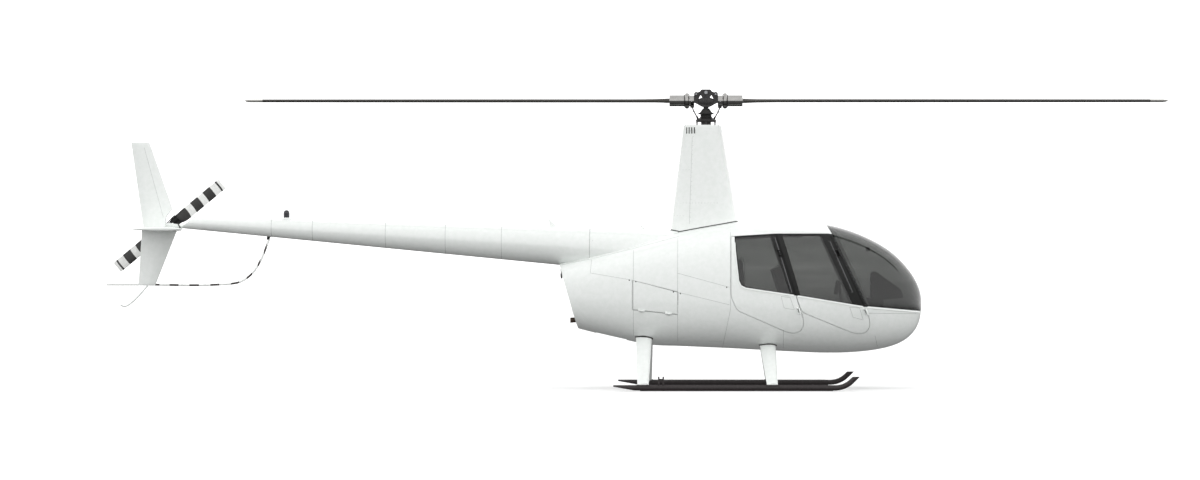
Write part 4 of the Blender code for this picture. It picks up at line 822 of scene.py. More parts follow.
hatch = layer("service_door_panel_right", 0.0, COWL_WALL, COWL_DOOR, -0.9, -0.2)
hatch_left = both_sides(hatch, "service_door_panel_left")
ends, along = hinge_line((-0.791, 0.859), (-0.306, 0.808))
fixed, moving = [], []
for share in (0.2, 0.8):
    spot = ends[0] + share * (ends[1] - ends[0])
    fixed.append(knuckle(spot, along, np.array((spot[0], -side_of_body(spot[0], spot[2] - 0.020) + 0.006,
                                                spot[2] - 0.020)), KNUCKLE_LENGTH, 0.006))
    for way in (-1, 1):
        centre = spot + along * way * (KNUCKLE_LENGTH / 2 + KNUCKLE_SLIT + LUG_LENGTH / 2)
        skin = np.array((centre[0], -side_of_body(centre[0], centre[2] + 0.020) + 0.006, centre[2] + 0.020))
        moving.append(knuckle(centre, along, skin, LUG_LENGTH, 0.006))
fixed, moving = merged(*fixed), merged(*moving)
make("service_door_brackets", merged(fixed, mirrored(fixed)), ENAMEL, "airframe", "white_paint", "aft_cowling")
for side, panel, lugs in (("right", hatch, moving), ("left", hatch_left, mirrored(moving))):
    polish(panel, level)
    carry(panel, ENAMEL, f"service_door_{side}", "white_paint", f"cowl_door_{side}")
    make(f"service_door_lugs_{side}", lugs, ENAMEL, f"service_door_{side}", "white_paint", f"cowl_door_{side}")
print("cowling:", len(cowl.data.polygons), "faces")

# %% [markdown]
# ## Mast fairing
# The tower round the mast is a thin sleeve, round in front and drawn out thin behind. Its foot follows the roof
# beneath, so the lowest row of points is found by dropping each point onto the skin a few times.

# %% The tower
RIVET = lathe(((0.0, 0.0011), (0.0012, 0.0010), (0.0023, 0.0006), (0.0029, -0.0004)), sides=8)
TOWER_LOW, TOWER_TOP = 1.62, 2.870
TOWER_SECTIONS = np.array(((0.377, -0.396, 0.175), (0.166, -0.2455, 0.118)))


def tower_at(z, angle, inset=0.0):
    """A point of the sleeve: an ellipse in front of the widest place, and behind it half width times the sine
    to the power 1.25."""
    share = np.clip((z - TOWER_LOW) / (TOWER_TOP - TOWER_LOW), 0, 1)[..., None]
    nose, tail, half = np.moveaxis(TOWER_SECTIONS[0] + share * (TOWER_SECTIONS[1] - TOWER_SECTIONS[0]), -1, 0)
    centre, cosine, sine = nose - half * 1.35, np.cos(angle), np.sin(angle)
    x = centre + np.where(cosine >= 0, half * 1.35 - inset, centre - tail - 2 * inset) * cosine
    y = (half - inset) * np.where(cosine >= 0, sine, np.sign(sine) * np.abs(sine) ** 1.25)
    return np.stack([x, y, z + 0 * angle], axis=-1)


def roof(x, y):
    """The height of the skin under a place near the mast: the body's top, or the boom's where it is higher."""
    top, bottom, half, waist = section(np.sqrt(NOSE_X - x))
    body = waist + (top - waist) * np.maximum(0, 1 - (np.abs(y) / half) ** UPPER_POWER) ** (1 / UPPER_POWER)
    cone = BOOM_Z0 + BOOM_SLOPE * x + np.sqrt(np.maximum(0, (BOOM_R0 + BOOM_TAPER * x) ** 2 - y ** 2))
    return np.where(x < BOOM_FRONT_X, np.maximum(body, cone), body)


def foot_of(angle, inset=0.0):
    z = np.full(len(angle), 1.75)
    for _ in range(12):
        x, y, _ = tower_at(z, angle, inset).T
        z = roof(x, y) + 0.0005
    return z


turn = np.arange(120) * 2 * np.pi / 120
foot, foot_inside = foot_of(turn), foot_of(turn, 0.010)
shares = np.linspace(0, 1, 40)
outside = [tower_at(foot + share * (TOWER_TOP - 0.008 - foot), turn) for share in shares]
lip = [tower_at(np.full(120, TOWER_TOP - 0.008 + rise), turn, drop)
       for rise, drop in ((0.004, 0.0012), (0.0068, 0.004), (0.008, 0.008))]
x, y, _ = lip[-1].T
bearing = np.arctan2(y, x)
ring = [np.stack([0.110 * np.cos(bearing), 0.110 * np.sin(bearing), np.full(120, z)], axis=-1)
        for z in (TOWER_TOP, TOWER_TOP - 0.009)]
inside = [tower_at(foot_inside + share * (TOWER_TOP - 0.010 - foot_inside), turn, 0.010) for share in shares[::-1]]
rows = np.stack([*outside, *lip, *ring, *inside, outside[0]])
make("mast_tower", outward(grid_shape(rows, ends=(False, False))), ENAMEL, "airframe", "white_paint",
     "mast_fairing", sharp=40)

skirt_low = tower_at(foot + 0.0002, turn)
around = np.gradient(np.concatenate([skirt_low[-1:], skirt_low, skirt_low[:1]]), axis=0)[1:-1]
away = np.cross(around, (0, 0, 1.0))
away /= np.linalg.norm(away, axis=1, keepdims=True)
away *= np.sign((away * (skirt_low - (0, 0, 1.7))).sum(axis=1, keepdims=True))
bead = [skirt_low + away * out + (0, 0, up)
        for out, up in ((-0.002, 0.0), (0.007, 0.0), (0.006, 0.004), (0.002, 0.0075), (-0.002, 0.008), (-0.002, 0.0))]
make("mast_tower_seal", outward(grid_shape(np.stack(bead), ends=(False, False))), RUBBER, "airframe", "black_paint",
     "mast_fairing")


def tower_face(x, z, lift=0.0):
    """A place on the sleeve's right-hand wall, its outward direction, and up along the wall."""
    angle = np.full(np.shape(x), -np.pi / 2)
    for _ in range(30):
        here, ahead = tower_at(z, angle), tower_at(z, angle + 0.001)
        angle = np.clip(angle - 0.7 * (here[..., 0] - x) / (ahead[..., 0] - here[..., 0]) * 0.001, -np.pi + 0.02, -0.02)
    here = tower_at(z, angle)
    side, up = tower_at(z, angle + 0.001) - here, tower_at(z + 0.001, angle) - here
    out = np.cross(side, up)
    out /= np.linalg.norm(out, axis=-1, keepdims=True)
    out *= np.where(out[..., 1:2] > 0, -1, 1)
    up /= np.linalg.norm(up, axis=-1, keepdims=True)
    return here + lift * out, out, up


# The louvres are not cut through: a dark rubber strip on the wall is painted shade standing for the dark opening of
# each slot, with a white hood beside it.
louvre_painted_shade, hoods = [], []
for x in (-0.209, -0.182, -0.154, -0.125):
    place, out, up = tower_face(np.full(9, x), np.linspace(2.775, 2.843, 9))
    louvre_painted_shade.append(ribbon(place, out, 0.0075, -0.002, 0.0006))
    bulge = 0.0075 * np.sin(np.linspace(0, np.pi, 9)) ** 0.5
    ahead = np.cross(up, out)
    ahead *= np.where(ahead[:, :1] > 0, 1, -1)
    ring = [place + ahead * (0.0095 + 0.004 * np.cos(a)) + out * (bulge[:, None] * 0.6 * np.sin(a) + 0.0008)
            for a in np.linspace(-0.2, np.pi, 8)]
    hoods.append(outward(grid_shape(np.stack([*ring, *ring[::-1]], axis=1))))
louvre_painted_shade, hoods = merged(*louvre_painted_shade), merged(*hoods)
make("tower_louvre_painted_shade", merged(louvre_painted_shade, mirrored(louvre_painted_shade)), RUBBER, "airframe", "black_paint", "mast_fairing")
make("tower_louvre_hoods", merged(hoods, mirrored(hoods)), ENAMEL, "airframe", "white_paint", "mast_fairing")
tower_rivets = []
for row, low, high in ((169.6, 680, 690), (202.9, 677, 720), (215.7, 674, 686)):
    x = np.arange(low, high, 3.1)
    place, out, up = tower_face(0.196 + (x - 724) / 91.9, np.full(len(x), 1.462 + (254 - row) / 91.9))
    tower_rivets.append(copies(RIVET, place, np.stack([np.cross(up, out), up, out], axis=1)))
z = np.linspace(2.74, 1.79, 40)
place, out, up = tower_face(-0.149 - (2.748 - z) * 0.0335, z)
tower_seam = ribbon(place, out, 0.0011, -0.001, 0.0004)
tower_rivets.append(copies(RIVET, (place + 0.010 * np.cross(up, out))[::2], np.stack([np.cross(up, out), up, out], axis=1)[::2]))
tower_rivets = merged(*tower_rivets)
make("tower_seams", merged(tower_seam, mirrored(tower_seam)), SEAM_LINE, "airframe", "white_paint", "mast_fairing")
make("tower_rivets", merged(tower_rivets, mirrored(tower_rivets)), SEAM_LINE, "airframe", "white_paint", "mast_fairing")
print("mast fairing: foot between", round(foot.min(), 3), "and", round(foot.max(), 3))

# %% [markdown]
# ## Rivets and seams
# Panels of the airframe are riveted, and show as fine grey seams with a row of low domes beside them. A seam is
# a thin strip laid on the skin, and a rivet is a small lathe shape copied along a row.

# %% Seams and rivets on the skin
def skin_side(x, z):
    """Half width of the whole outside, body or boom, at points of the side view."""
    cone = (BOOM_R0 + BOOM_TAPER * x) ** 2 - (z - BOOM_Z0 - BOOM_SLOPE * x) ** 2
    cone = np.where(x < BOOM_FRONT_X, np.sqrt(np.maximum(0, cone)), 0)
    body = np.where(x > BOOM_SEAM_X - 0.33, side_of_body(np.maximum(x, -1.7), z), 0)
    return np.maximum(body, np.where(x < BOOM_SEAM_X, cone, cone * (cone > body)))


def on_skin(points, spacing):
    """Places every so many metres along a line of the side view, on the right-hand skin, with their outward
    directions and the line's own."""
    points = np.asarray(points, float)
    length = np.concatenate([[0], np.cumsum(np.linalg.norm(np.diff(points, axis=0), axis=1))])
    at = np.linspace(0, length[-1], max(3, int(length[-1] / spacing) + 1))
    x, z = np.interp(at, length, points[:, 0]), np.interp(at, length, points[:, 1])
    place = np.stack([x, -skin_side(x, z), z], axis=1)
    body, cone = level(place) - 1, boom_level(place)
    use_cone = (x < BOOM_FRONT_X) & ((x < BOOM_SEAM_X) | (np.abs(cone) < np.abs(body)))
    out = np.where(use_cone[:, None], slope_of(boom_level, place), slope_of(level, place))
    along = np.gradient(place, axis=0)
    return place, out, along / np.linalg.norm(along, axis=1, keepdims=True)


def seam_line(points, half_width=0.0014, lift=0.0005):
    place, out, _ = on_skin(points, 0.012)
    return ribbon(place, out, half_width, -0.001, lift)


def rivet_row(points, spacing=0.030, aside=0.0):
    """Rivets along a line of the side view, moved aside square to it."""
    place, out, along = on_skin(points, spacing)
    across = np.cross(out, along)
    return copies(RIVET, place + aside * across, np.stack([along, across, out], axis=1))


def ring_seam(x, half_width=0.0016, lift=0.0004, around=96):
    """A seam right round the boom."""
    angle = np.arange(around) * 2 * np.pi / around
    rows = []
    for shift, rise in ((-half_width, -0.001), (-half_width, lift), (half_width, lift), (half_width, -0.001)):
        radius = BOOM_R0 + BOOM_TAPER * (x + shift) + rise
        rows.append(np.stack([np.full(around, x + shift), radius * np.cos(angle),
                              BOOM_Z0 + BOOM_SLOPE * (x + shift) + radius * np.sin(angle)], axis=-1))
    return outward(grid_shape(np.stack(rows), ends=(False, False)))


def ring_rivets(x, spacing=0.035):
    radius = BOOM_R0 + BOOM_TAPER * x
    count = int(2 * np.pi * radius / spacing)
    angle = np.arange(count) * 2 * np.pi / count
    out = np.stack([0 * angle, np.cos(angle), np.sin(angle)], axis=1)
    along = np.tile((1.0, 0, 0), (count, 1))
    place = np.stack([np.full(count, x), radius * np.cos(angle),
                      BOOM_Z0 + BOOM_SLOPE * x + radius * np.sin(angle)], axis=1)
    return copies(RIVET, place, np.stack([along, np.cross(out, along), out], axis=1))


def from_photo(px, py, scale=92.9):
    """A place in the side view from a pixel of the photograph, for the side that faces the camera."""
    return 0.196 + (px - 724) / scale, 1.462 + (254 - py) / scale


COWL_SEAMS = [
    [from_photo(633.1, 250), from_photo(633.1, 336)], [from_photo(677.6, 238), from_photo(677.6, 342)],
    [from_photo(560.4, 264.8), from_photo(590.6, 258.8), from_photo(633.1, 248.4), from_photo(679, 236)],
    [from_photo(590.6, 273.2), from_photo(632, 280.2), from_photo(677.6, 292.2), from_photo(729.6, 304.8)],
    [from_photo(677.6, 273.2), from_photo(729.6, 287.3)], [from_photo(633.1, 309.3), from_photo(677.6, 314.3)],
    [from_photo(589.6, 273.2), from_photo(590.6, 259.5)],
    [(0.2658, 1.700), (0.2658, 0.864)], [(0.2658, 0.864), (0.174, 0.420)],
    [from_photo(783.7, 330), from_photo(783.7, 349)], [from_photo(875.6, 336), from_photo(878.5, 347)],
    [from_photo(708.5, 341.5), from_photo(722, 341.5)], [from_photo(868, 313.3), from_photo(918, 314.2)],
]
PAINTED_SHADOW_LINE = [from_photo(559.2, 269.5), from_photo(560.6, 278.6)]
FASTENERS = np.array([from_photo(*spot) for spot in (
    (629, 280.2), (635.5, 281.6), (673.4, 291.9), (680.4, 293.6), (726.7, 287.3), (591.4, 240.3))])
DOOR_MARKS = {
    "rear": [[(781.1, 296.5), (790.2, 297.4), (794.4, 309.8), (784.1, 308.0), (781.1, 296.5)]],
    "front": [[(849.9, 307.2), (859.8, 308.0), (863.5, 319.9), (853.2, 317.4), (849.9, 307.2)]],
}
FRAME_LINES = {"rear": [(0.748, 1.640), (0.928, 1.046)], "front": [(1.342, 1.600), (1.585, 1.048)]}
SILLS = {
    "rear_door": [(0.314, 1.585), (0.318, 1.500), (0.354, 1.175), (0.378, 1.122), (0.432, 1.094), (0.950, 1.017)],
    "front_door": [(0.992, 1.011), (1.024, 1.006), (1.695, 0.894)],
    "airframe": [(1.742, 0.8895), (2.318, 0.8360)],
}


def sill(points, spacing=0.010):
    """A ledge under the glass: a wedge that leans out at its foot, so that its face looks up at the sky."""
    place, out, along = on_skin(points, spacing)
    up = np.cross(along, out)
    up *= np.where((up[:, 2] + up[:, 0] * 0.5)[:, None] > 0, 1, -1)
    corners = [place + up * a + out * b for a, b in ((-0.009, -0.002), (-0.009, 0.0075), (0.006, 0.0012),
                                                     (0.006, -0.002))]
    return outward(grid_shape(np.stack(corners, axis=1)))


for where, points in SILLS.items():
    ledge = sill(points)
    if where == "airframe":
        make("windshield_sill", merged(ledge, mirrored(ledge)), ENAMEL, "airframe", "white_paint", "cabin_shell")
        continue
    door = where.split("_")[0]
    marks = merged(*[seam_line([from_photo(*spot) for spot in line]) for line in DOOR_MARKS[door]])
    trim = seam_line(FRAME_LINES[door], 0.0013)
    studs = rivet_row([(x - 0.014, z) for x, z in FRAME_LINES[door]], 0.045)
    for side, turn in (("right", lambda shape: shape), ("left", mirrored)):
        body, node = f"{where}_{side}", f"door_{door}_{side}"
        make(f"{where}_sill_{side}", turn(ledge), ENAMEL, body, "white_paint", node)
        make(f"{where}_panel_seam_{side}", turn(marks), SEAM_LINE, body, "white_paint", node)
        make(f"{where}_frame_trim_{side}", turn(trim), STEEL, body, "black_paint", node)
        make(f"{where}_frame_studs_{side}", turn(studs), STEEL, body, "black_paint", node)
pillar_studs = rivet_row([(1.395, 1.600), (1.722, 0.918)], 0.040)
make("pillar_studs", merged(pillar_studs, mirrored(pillar_studs)), STEEL, "airframe", "black_paint", "cabin_shell")
turnbuckle = lathe(((0.0, 0.0018), (0.006, 0.0014), (0.0075, -0.0006)), sides=16)
place = np.stack([FASTENERS[:, 0], -skin_side(*FASTENERS.T), FASTENERS[:, 1]], axis=1)
out = slope_of(level, place)
along = np.cross(out, (0, 0, 1.0))
buttons = copies(turnbuckle, place, np.stack([along, np.cross(out, along), out], axis=1))
# The dark strip along the top of the cowling's rear face is painted shadow, where the boom shades the lip. The
# turnbuckle buttons are dark metal, and their darkness also stands in part for the shade round real fasteners.
painted_lip_shadow = seam_line(PAINTED_SHADOW_LINE, 0.012, 0.0008)
make("cowling_fasteners_and_painted_shadow", merged(buttons, mirrored(buttons), painted_lip_shadow, mirrored(painted_lip_shadow)), DARK_METAL,
     "airframe", "grey_alloy", "aft_cowling")
seams = merged(*[seam_line(line) for line in COWL_SEAMS])
rows = merged(*[rivet_row(line, 0.034, 0.009) for line in COWL_SEAMS[:4]])
make("cowling_seams", merged(seams, mirrored(seams)), SEAM_LINE, "airframe", "white_paint", "aft_cowling")
make("cowling_rivets", merged(rows, mirrored(rows)), ENAMEL, "airframe", "white_paint", "aft_cowling")
print("seams:", len(seams[0]) * 2, "points")

# %% [markdown]
# ## Tail boom
# The boom is one long cone of thin sheet, made in bays that overlap at riveted rings. Its end is cut back on a
# slant for the tail gearbox.

# %% The boom
BOOM_END = ((-5.568, 1.880), (-5.730, 1.746))
BOOM_RINGS = [-2.225, -2.837, -3.49, -4.287, -4.735]


def boom_tube(around=96):
    """Rows along the boom; the last one stops where the slanting cut is met at its own height."""
    angle = np.arange(around) * 2 * np.pi / around
    stations = np.linspace(BOOM_SEAM_X - 0.0005, -5.50, 90)
    end = np.full(around, -5.65)
    for _ in range(20):
        radius = BOOM_R0 + BOOM_TAPER * end
        z = BOOM_Z0 + BOOM_SLOPE * end + radius * np.sin(angle)
        (x0, z0), (x1, z1) = BOOM_END
        end = np.maximum(x0 + (z0 - z) * (x1 - x0) / (z0 - z1), x1)
    rows = [np.full(around, x) for x in stations] + [-5.5 + (end + 5.5) * share for share in (0.5, 1.0)]
    x = np.stack(rows)
    radius = BOOM_R0 + BOOM_TAPER * x
    return outward(grid_shape(np.stack([x, radius * np.cos(angle),
                                        BOOM_Z0 + BOOM_SLOPE * x + radius * np.sin(angle)], axis=-1)))


make("tail_boom_skin", boom_tube(), ENAMEL, "airframe", "white_paint", "tail_boom", sharp=50)
rings = merged(*[ring_seam(x) for x in (BOOM_SEAM_X - 0.003, *BOOM_RINGS)])
make("boom_seams", rings, SEAM_LINE, "airframe", "white_paint", "tail_boom")
make("boom_rivets", merged(*[ring_rivets(x + step) for x in BOOM_RINGS for step in (-0.010, 0.010)]), ENAMEL,
     "airframe", "white_paint", "tail_boom")

# %% [markdown]
# ## Fins and stabilizer
# Fins and stabilizer share one symmetrical aerofoil. Its half thickness over the chord is the thickness times
# 2.67 (0.5 root s - 0.21 s - 0.29 s squared), where s runs from the nose to the tail of the section.

# %% Fins, stabilizer, gearbox
FIN_Y, STABILIZER_Z = -0.080, 1.730


def aerofoil(sections, spread, points=40, tip=6):
    """Sections of (span, leading, trailing, thickness, offset), closed at the last by a rounded cap."""
    sections = np.asarray(sections, float)
    share = (1 - np.cos(np.linspace(0, np.pi, points))) / 2
    half = 2.67 * (np.sqrt(share) * 0.5 - 0.21 * share - 0.29 * share ** 2)
    way = np.sign(sections[-1, 0] - sections[0, 0])
    span, lead, trail, thick, offset = sections.T
    along = np.linspace(0, 1, 24)
    walk = np.linspace(0, 1, len(sections))
    span, lead, trail, thick, offset = (np.interp(along, walk, v) for v in (span, lead, trail, thick, offset))
    rows = []
    for turn in np.linspace(0, np.pi / 2, tip):
        reach = thick[-1] * 0.45
        rows.append((span[-1] - way * reach * (1 - np.sin(turn)), lead[-1] - reach * (1 - np.cos(turn)) * 0.6,
                     trail[-1] + reach * (1 - np.cos(turn)) * 0.3, thick[-1] * max(np.cos(turn), 0.04), offset[-1]))
    body = np.stack([span, lead, trail, thick, offset], axis=1)
    body = body[np.abs(body[:, 0] - span[-1]) > thick[-1] * 0.5]
    span, lead, trail, thick, offset = np.concatenate([body, np.array(rows)]).T
    x = lead[:, None] - (lead - trail)[:, None] * np.concatenate([share, share[::-1][1:-1]])
    side = np.concatenate([half, -half[::-1][1:-1]]) * thick[:, None]
    side += np.sign(side) * 0.0012
    s = np.repeat(span[:, None], x.shape[1], axis=1)
    side = offset[:, None] + side
    return outward(grid_shape(np.stack((x, side, s) if spread == "Z" else (x, s, side), axis=-1)))


upper = mesh_object("upper_fin_skin", aerofoil(((1.734, -5.730, -6.127, 0.050, FIN_Y),
                                                (2.679, -6.062, -6.262, 0.026, FIN_Y)), "Z"))
notch = rounded(((-5.800, 1.975), (-5.812, 1.953), (-5.880, 1.870), (-5.893, 1.700), (-5.700, 1.700),
                 (-5.600, 1.975)), (0.001, 0.004, 0.02, 0.001, 0.001, 0.001))
combine(upper, side_prism(notch, -0.2, 0.0), "DIFFERENCE")
upper.data.shade_smooth()
upper.data.set_sharp_from_angle(angle=math.radians(30))
carry(upper, ENAMEL, "airframe", "white_paint", "upper_fin")
make("lower_fin_skin", aerofoil(((1.722, -5.759, -6.145, 0.048, FIN_Y), (1.118, -5.998, -6.182, 0.026, FIN_Y)), "Z"),
     ENAMEL, "airframe", "white_paint", "lower_fin")
make("stabilizer_skin", aerofoil(((-0.010, -5.705, -6.195, 0.052, STABILIZER_Z),
                                  (-0.760, -5.640, -6.195, 0.040, STABILIZER_Z)), "Y"),
     ENAMEL, "airframe", "white_paint", "horizontal_stabilizer")

GEAR_Z = 1.768
case = lathe(((0.0, -5.985), (0.018, -5.985), (0.022, -5.980), (0.024, -5.950), (0.030, -5.935), (0.030, -5.826),
              (0.034, -5.824), (0.034, -5.812), (0.026, -5.810), (0.022, -5.775), (0.020, -5.60), (0.0, -5.595)),
             (0, 0, GEAR_Z), "X", 40)
output = lathe(((0.0, 0.0), (0.028, 0.0), (0.028, 0.075), (0.035, 0.078), (0.035, 0.092), (0.030, 0.095),
                (0.026, 0.118), (0.022, 0.125), (0.0, 0.125)), (-5.881, 0, 1.774), "Y", 32)
angle = np.arange(6) * np.pi / 3
bolts = [rod((-5.881 + 0.031 * np.cos(a), 0.090, 1.774 + 0.031 * np.sin(a)),
             (-5.881 + 0.031 * np.cos(a), 0.097, 1.774 + 0.031 * np.sin(a)), 0.004, sides=6) for a in angle]
stay = rounded_box((-5.965, FIN_Y, 1.752), (-5.925, 0.010, 1.784), 0.006)
make("tail_gearbox_case", merged(case, stay), ENAMEL, "airframe", "white_paint", "tail_gearbox")
make("tail_gearbox_output", merged(output, *bolts), CAST, "airframe", "grey_alloy", "tail_gearbox")
make("tail_pitch_rod", rod((-5.763, -0.020, 1.800), (-5.735, -0.020, 1.748), 0.0062), DARK_METAL, "airframe",
     "grey_alloy", "tail_gearbox")

z = np.linspace(2.62, 1.86, 40)
share = (z - 1.734) / (2.679 - 1.734)
chord_place = 0.36
x = -5.730 - 0.332 * share - chord_place * (0.397 - 0.197 * share)
half = (0.050 - 0.024 * share) * 2.67 * (math.sqrt(chord_place) / 2 - 0.21 * chord_place - 0.29 * chord_place ** 2)
creases = []
for way in (-1, 1):
    line = np.stack([x, FIN_Y + way * (half + 0.0012), z], axis=1)
    creases.append(ribbon(line, np.tile((0, way, 0.0), (40, 1)), 0.0011, -0.001, 0.0004))
make("upper_fin_seams", merged(*creases), SEAM_LINE, "airframe", "white_paint", "upper_fin")

# %% [markdown]
# ## Tail guard, tail skid and beacon
# A hoop of tube keeps people away from the tail rotor, so it is striped. The stripes are painted on, and the
# finish works them out from the distance along the boom.

# %% Guard, skid rod, beacon and aerials
guard_y = FIN_Y + 0.026
GUARD = ((-6.530, guard_y, 1.130), (-6.18, guard_y, 1.130), (-5.303, guard_y, 1.130), (-5.18, guard_y, 1.138),
         (-5.10, guard_y, 1.152), (-5.02, guard_y * 0.9, 1.190), (-4.954, guard_y * 0.8, 1.244),
         (-4.866, guard_y * 0.6, 1.375), (-4.801, guard_y * 0.3, 1.528), (-4.762, 0, 1.640))
STRIPES = (0, 0.549, 0.593, 0.702, 0.800, 0.920, 1.024, 1.146, 1.246, 1.372, 1.455, 1.539, 1.601, 1.656, 1.691,
           1.726, 1.755)
STRIPED = finish("striped_enamel", "F2F4F2", "ECEEEC", 0.004, (0.2, 0.3), 0.00003,
                 paint=bands(("X", MAST_X - 6.55, 1.9, STRIPES), ("FFFFFF", "4A4543")))
path = curve_through(GUARD, 160)
path = path[path[:, 0] > -6.5299]
guard = sweep(np.concatenate([[(-6.5298, guard_y, 1.130)], path]), 0.012, 20)
make("tail_guard_hoop", guard, STRIPED, "airframe", "white_paint", "tail_guard", sharp=60)
clamp = [np.array((-4.768, 0, 1.637)) + np.array(out) for out in ((0, 0, 0.020), (-0.012, 0, -0.020))]
make("tail_guard_clamp", merged(rod(clamp[0], clamp[1], 0.018, sides=20)), SATIN_BLACK, "airframe", "black_paint",
     "tail_guard")
skid_path = curve_through(((-6.083, FIN_Y, 1.1175), (-6.150, FIN_Y, 1.040), (-6.250, FIN_Y, 0.940),
                           (-6.313, FIN_Y, 0.898), (-6.345, FIN_Y, 0.894), (-6.376, FIN_Y, 0.909)), 50)
make("tail_skid_rod", sweep(skid_path, 0.010, 16, up=(0, 1, 0)), ENAMEL, "airframe", "white_paint", "tail_skid",
     sharp=60)
BEACON_X = -4.577
top = BOOM_Z0 + BOOM_SLOPE * BEACON_X + BOOM_R0 + BOOM_TAPER * BEACON_X
make("beacon_foot", lathe(((0.0, -0.02), (0.052, -0.02), (0.052, 0.006), (0.049, 0.009), (0.038, 0.0125),
                           (0.035, 0.018), (0.0, 0.018)), (BEACON_X, 0, top), sides=48),
     ENAMEL, "airframe", "white_paint", "beacon_base")
rib = np.linspace(0, 1, 41)
wall = np.stack([0.0335 + 0.0005 * np.cos(rib * 2 * np.pi * 10), 0.0186 + rib * 0.050], axis=1)
dome = np.stack([0.0335 * np.cos(np.linspace(0, np.pi / 2, 14)), 0.0686 + 0.0335 * np.sin(np.linspace(0, np.pi / 2, 14))],
                axis=1)
make("beacon_lens_ribbed", lathe(np.concatenate([[(0.0, 0.0186)], wall, dome]), (BEACON_X, 0, top), sides=48), LENS,
     "airframe", "lamp_cover", "beacon_lens")
for name, low, high, tip, z in (("rear", -1.717, -1.615, (-1.925, 2.163), 1.715),
                                ("front", -0.720, -0.620, (-0.938, 2.157), 1.660)):
    foot_x = low + 0.020
    outline = rounded(((low, z), (high, z), (high - 0.012, z + 0.045), (foot_x + 0.020, z + 0.095),
                       (foot_x - 0.006, z + 0.095), (low + 0.004, z + 0.040)), 0.008)
    share = np.sin(np.linspace(0.12, np.pi - 0.12, 9))
    middle = outline.mean(axis=0)
    rows = [np.stack([v[:, 0], np.full(len(outline), 0.008 * -np.cos(a)), v[:, 1]], axis=1)
            for a in np.linspace(0.0, np.pi, 9) for v in [middle + (outline - middle) * (1 - 0.12 * np.cos(a) ** 2)]]
    whip = sweep(curve_through(((foot_x + 0.006, 0, z + 0.080), ((foot_x + tip[0]) / 2, 0, (z + 0.08 + tip[1]) / 2 - 0.004),
                                (tip[0], 0, tip[1])), 30), np.linspace(0.0045, 0.0022, 30), 10, up=(0, 1, 0))
    collar = rod((foot_x + 0.007, 0, z + 0.090), (foot_x - 0.008, 0, z + 0.120), 0.0065, sides=16)
    make(f"{name}_aerial_foot", outward(grid_shape(np.stack(rows))), ENAMEL, "airframe", "white_paint", f"antenna_{name}")
    make(f"{name}_aerial_whip", merged(whip, collar), ENAMEL, "airframe", "white_paint", f"antenna_{name}")
print("tail done")

# %% [markdown]
# ## Landing gear
# Two tube skids turn up in front and are bevelled at both ends. Each hangs on two struts with an aerofoil
# section, which spread and taper from the belly and end in a saddle round the tube.

# %% Skids and struts
SKID_Y, SKID_RADIUS, SKID_Z = 1.06, 0.0285, 0.0345
line = curve_through([(x, -SKID_Y, SKID_Z + z) for x, z in (
    (-0.985, 0), (-0.76, 0), (0.0, 0), (1.0, 0), (1.30, 0), (1.408, 0), (1.47, 0.014), (1.53, 0.046), (1.575, 0.085),
    (1.63, 0.142))], 220)
tube_points, tube_quads = sweep(line, SKID_RADIUS, 32)
heel = 0.0055 + (-0.755 - tube_points[:, 0]) * (0.058 - 0.0055) / (1.05 - 0.755)
tube_points[:, 2] = np.where(tube_points[:, 0] < -0.755, np.maximum(tube_points[:, 2], heel), tube_points[:, 2])
tube_points[:, 2] = np.minimum(tube_points[:, 2], 0.152)
shoe = rounded_box((-0.70, -SKID_Y - 0.019, 0.0), (1.36, -SKID_Y + 0.019, 0.012), 0.004)
lugs = [rounded_box((x - 0.008, -SKID_Y - 0.016, 0.05), (x + 0.008, -SKID_Y + 0.016, 0.153), 0.004)
        for x in (-0.500, -0.452)]
bar = rounded_box((-0.500, -SKID_Y - 0.010, 0.105), (-0.452, -SKID_Y + 0.010, 0.130), 0.003)
skid = merged((tube_points, tube_quads), shoe)
make("skid_tube_right", merged(skid, *lugs, bar), POWDER, "airframe", "dark_steel", "skid_right", sharp=40)
make("skid_tube_left", mirrored(skid), POWDER, "airframe", "dark_steel", "skid_left", sharp=40)


def strut(top, bottom, points=36, rows=60):
    """A strut's wall points, from inside the belly to the skid: the aerofoil of the fins laid along Y."""
    share = (1 - np.cos(np.linspace(0, np.pi, points))) / 2
    half = 2.67 * (np.sqrt(share) * 0.5 - 0.21 * share - 0.29 * share ** 2)
    s = np.concatenate([share, share[::-1][1:-1]])
    h = np.concatenate([half, -half[::-1][1:-1]])
    t = np.linspace(0, 1, rows)[:, None]
    middle, height, chord = (a + t * (b - a) for a, b in zip(top, bottom))
    thick = 0.062 + t * (0.050 - 0.062)
    y = -0.330 + t * (-SKID_Y + 0.330) + 0 * s
    return np.stack([middle + chord * (0.5 - s), y, height + thick * h + np.sign(h) * 0.0012], axis=-1)


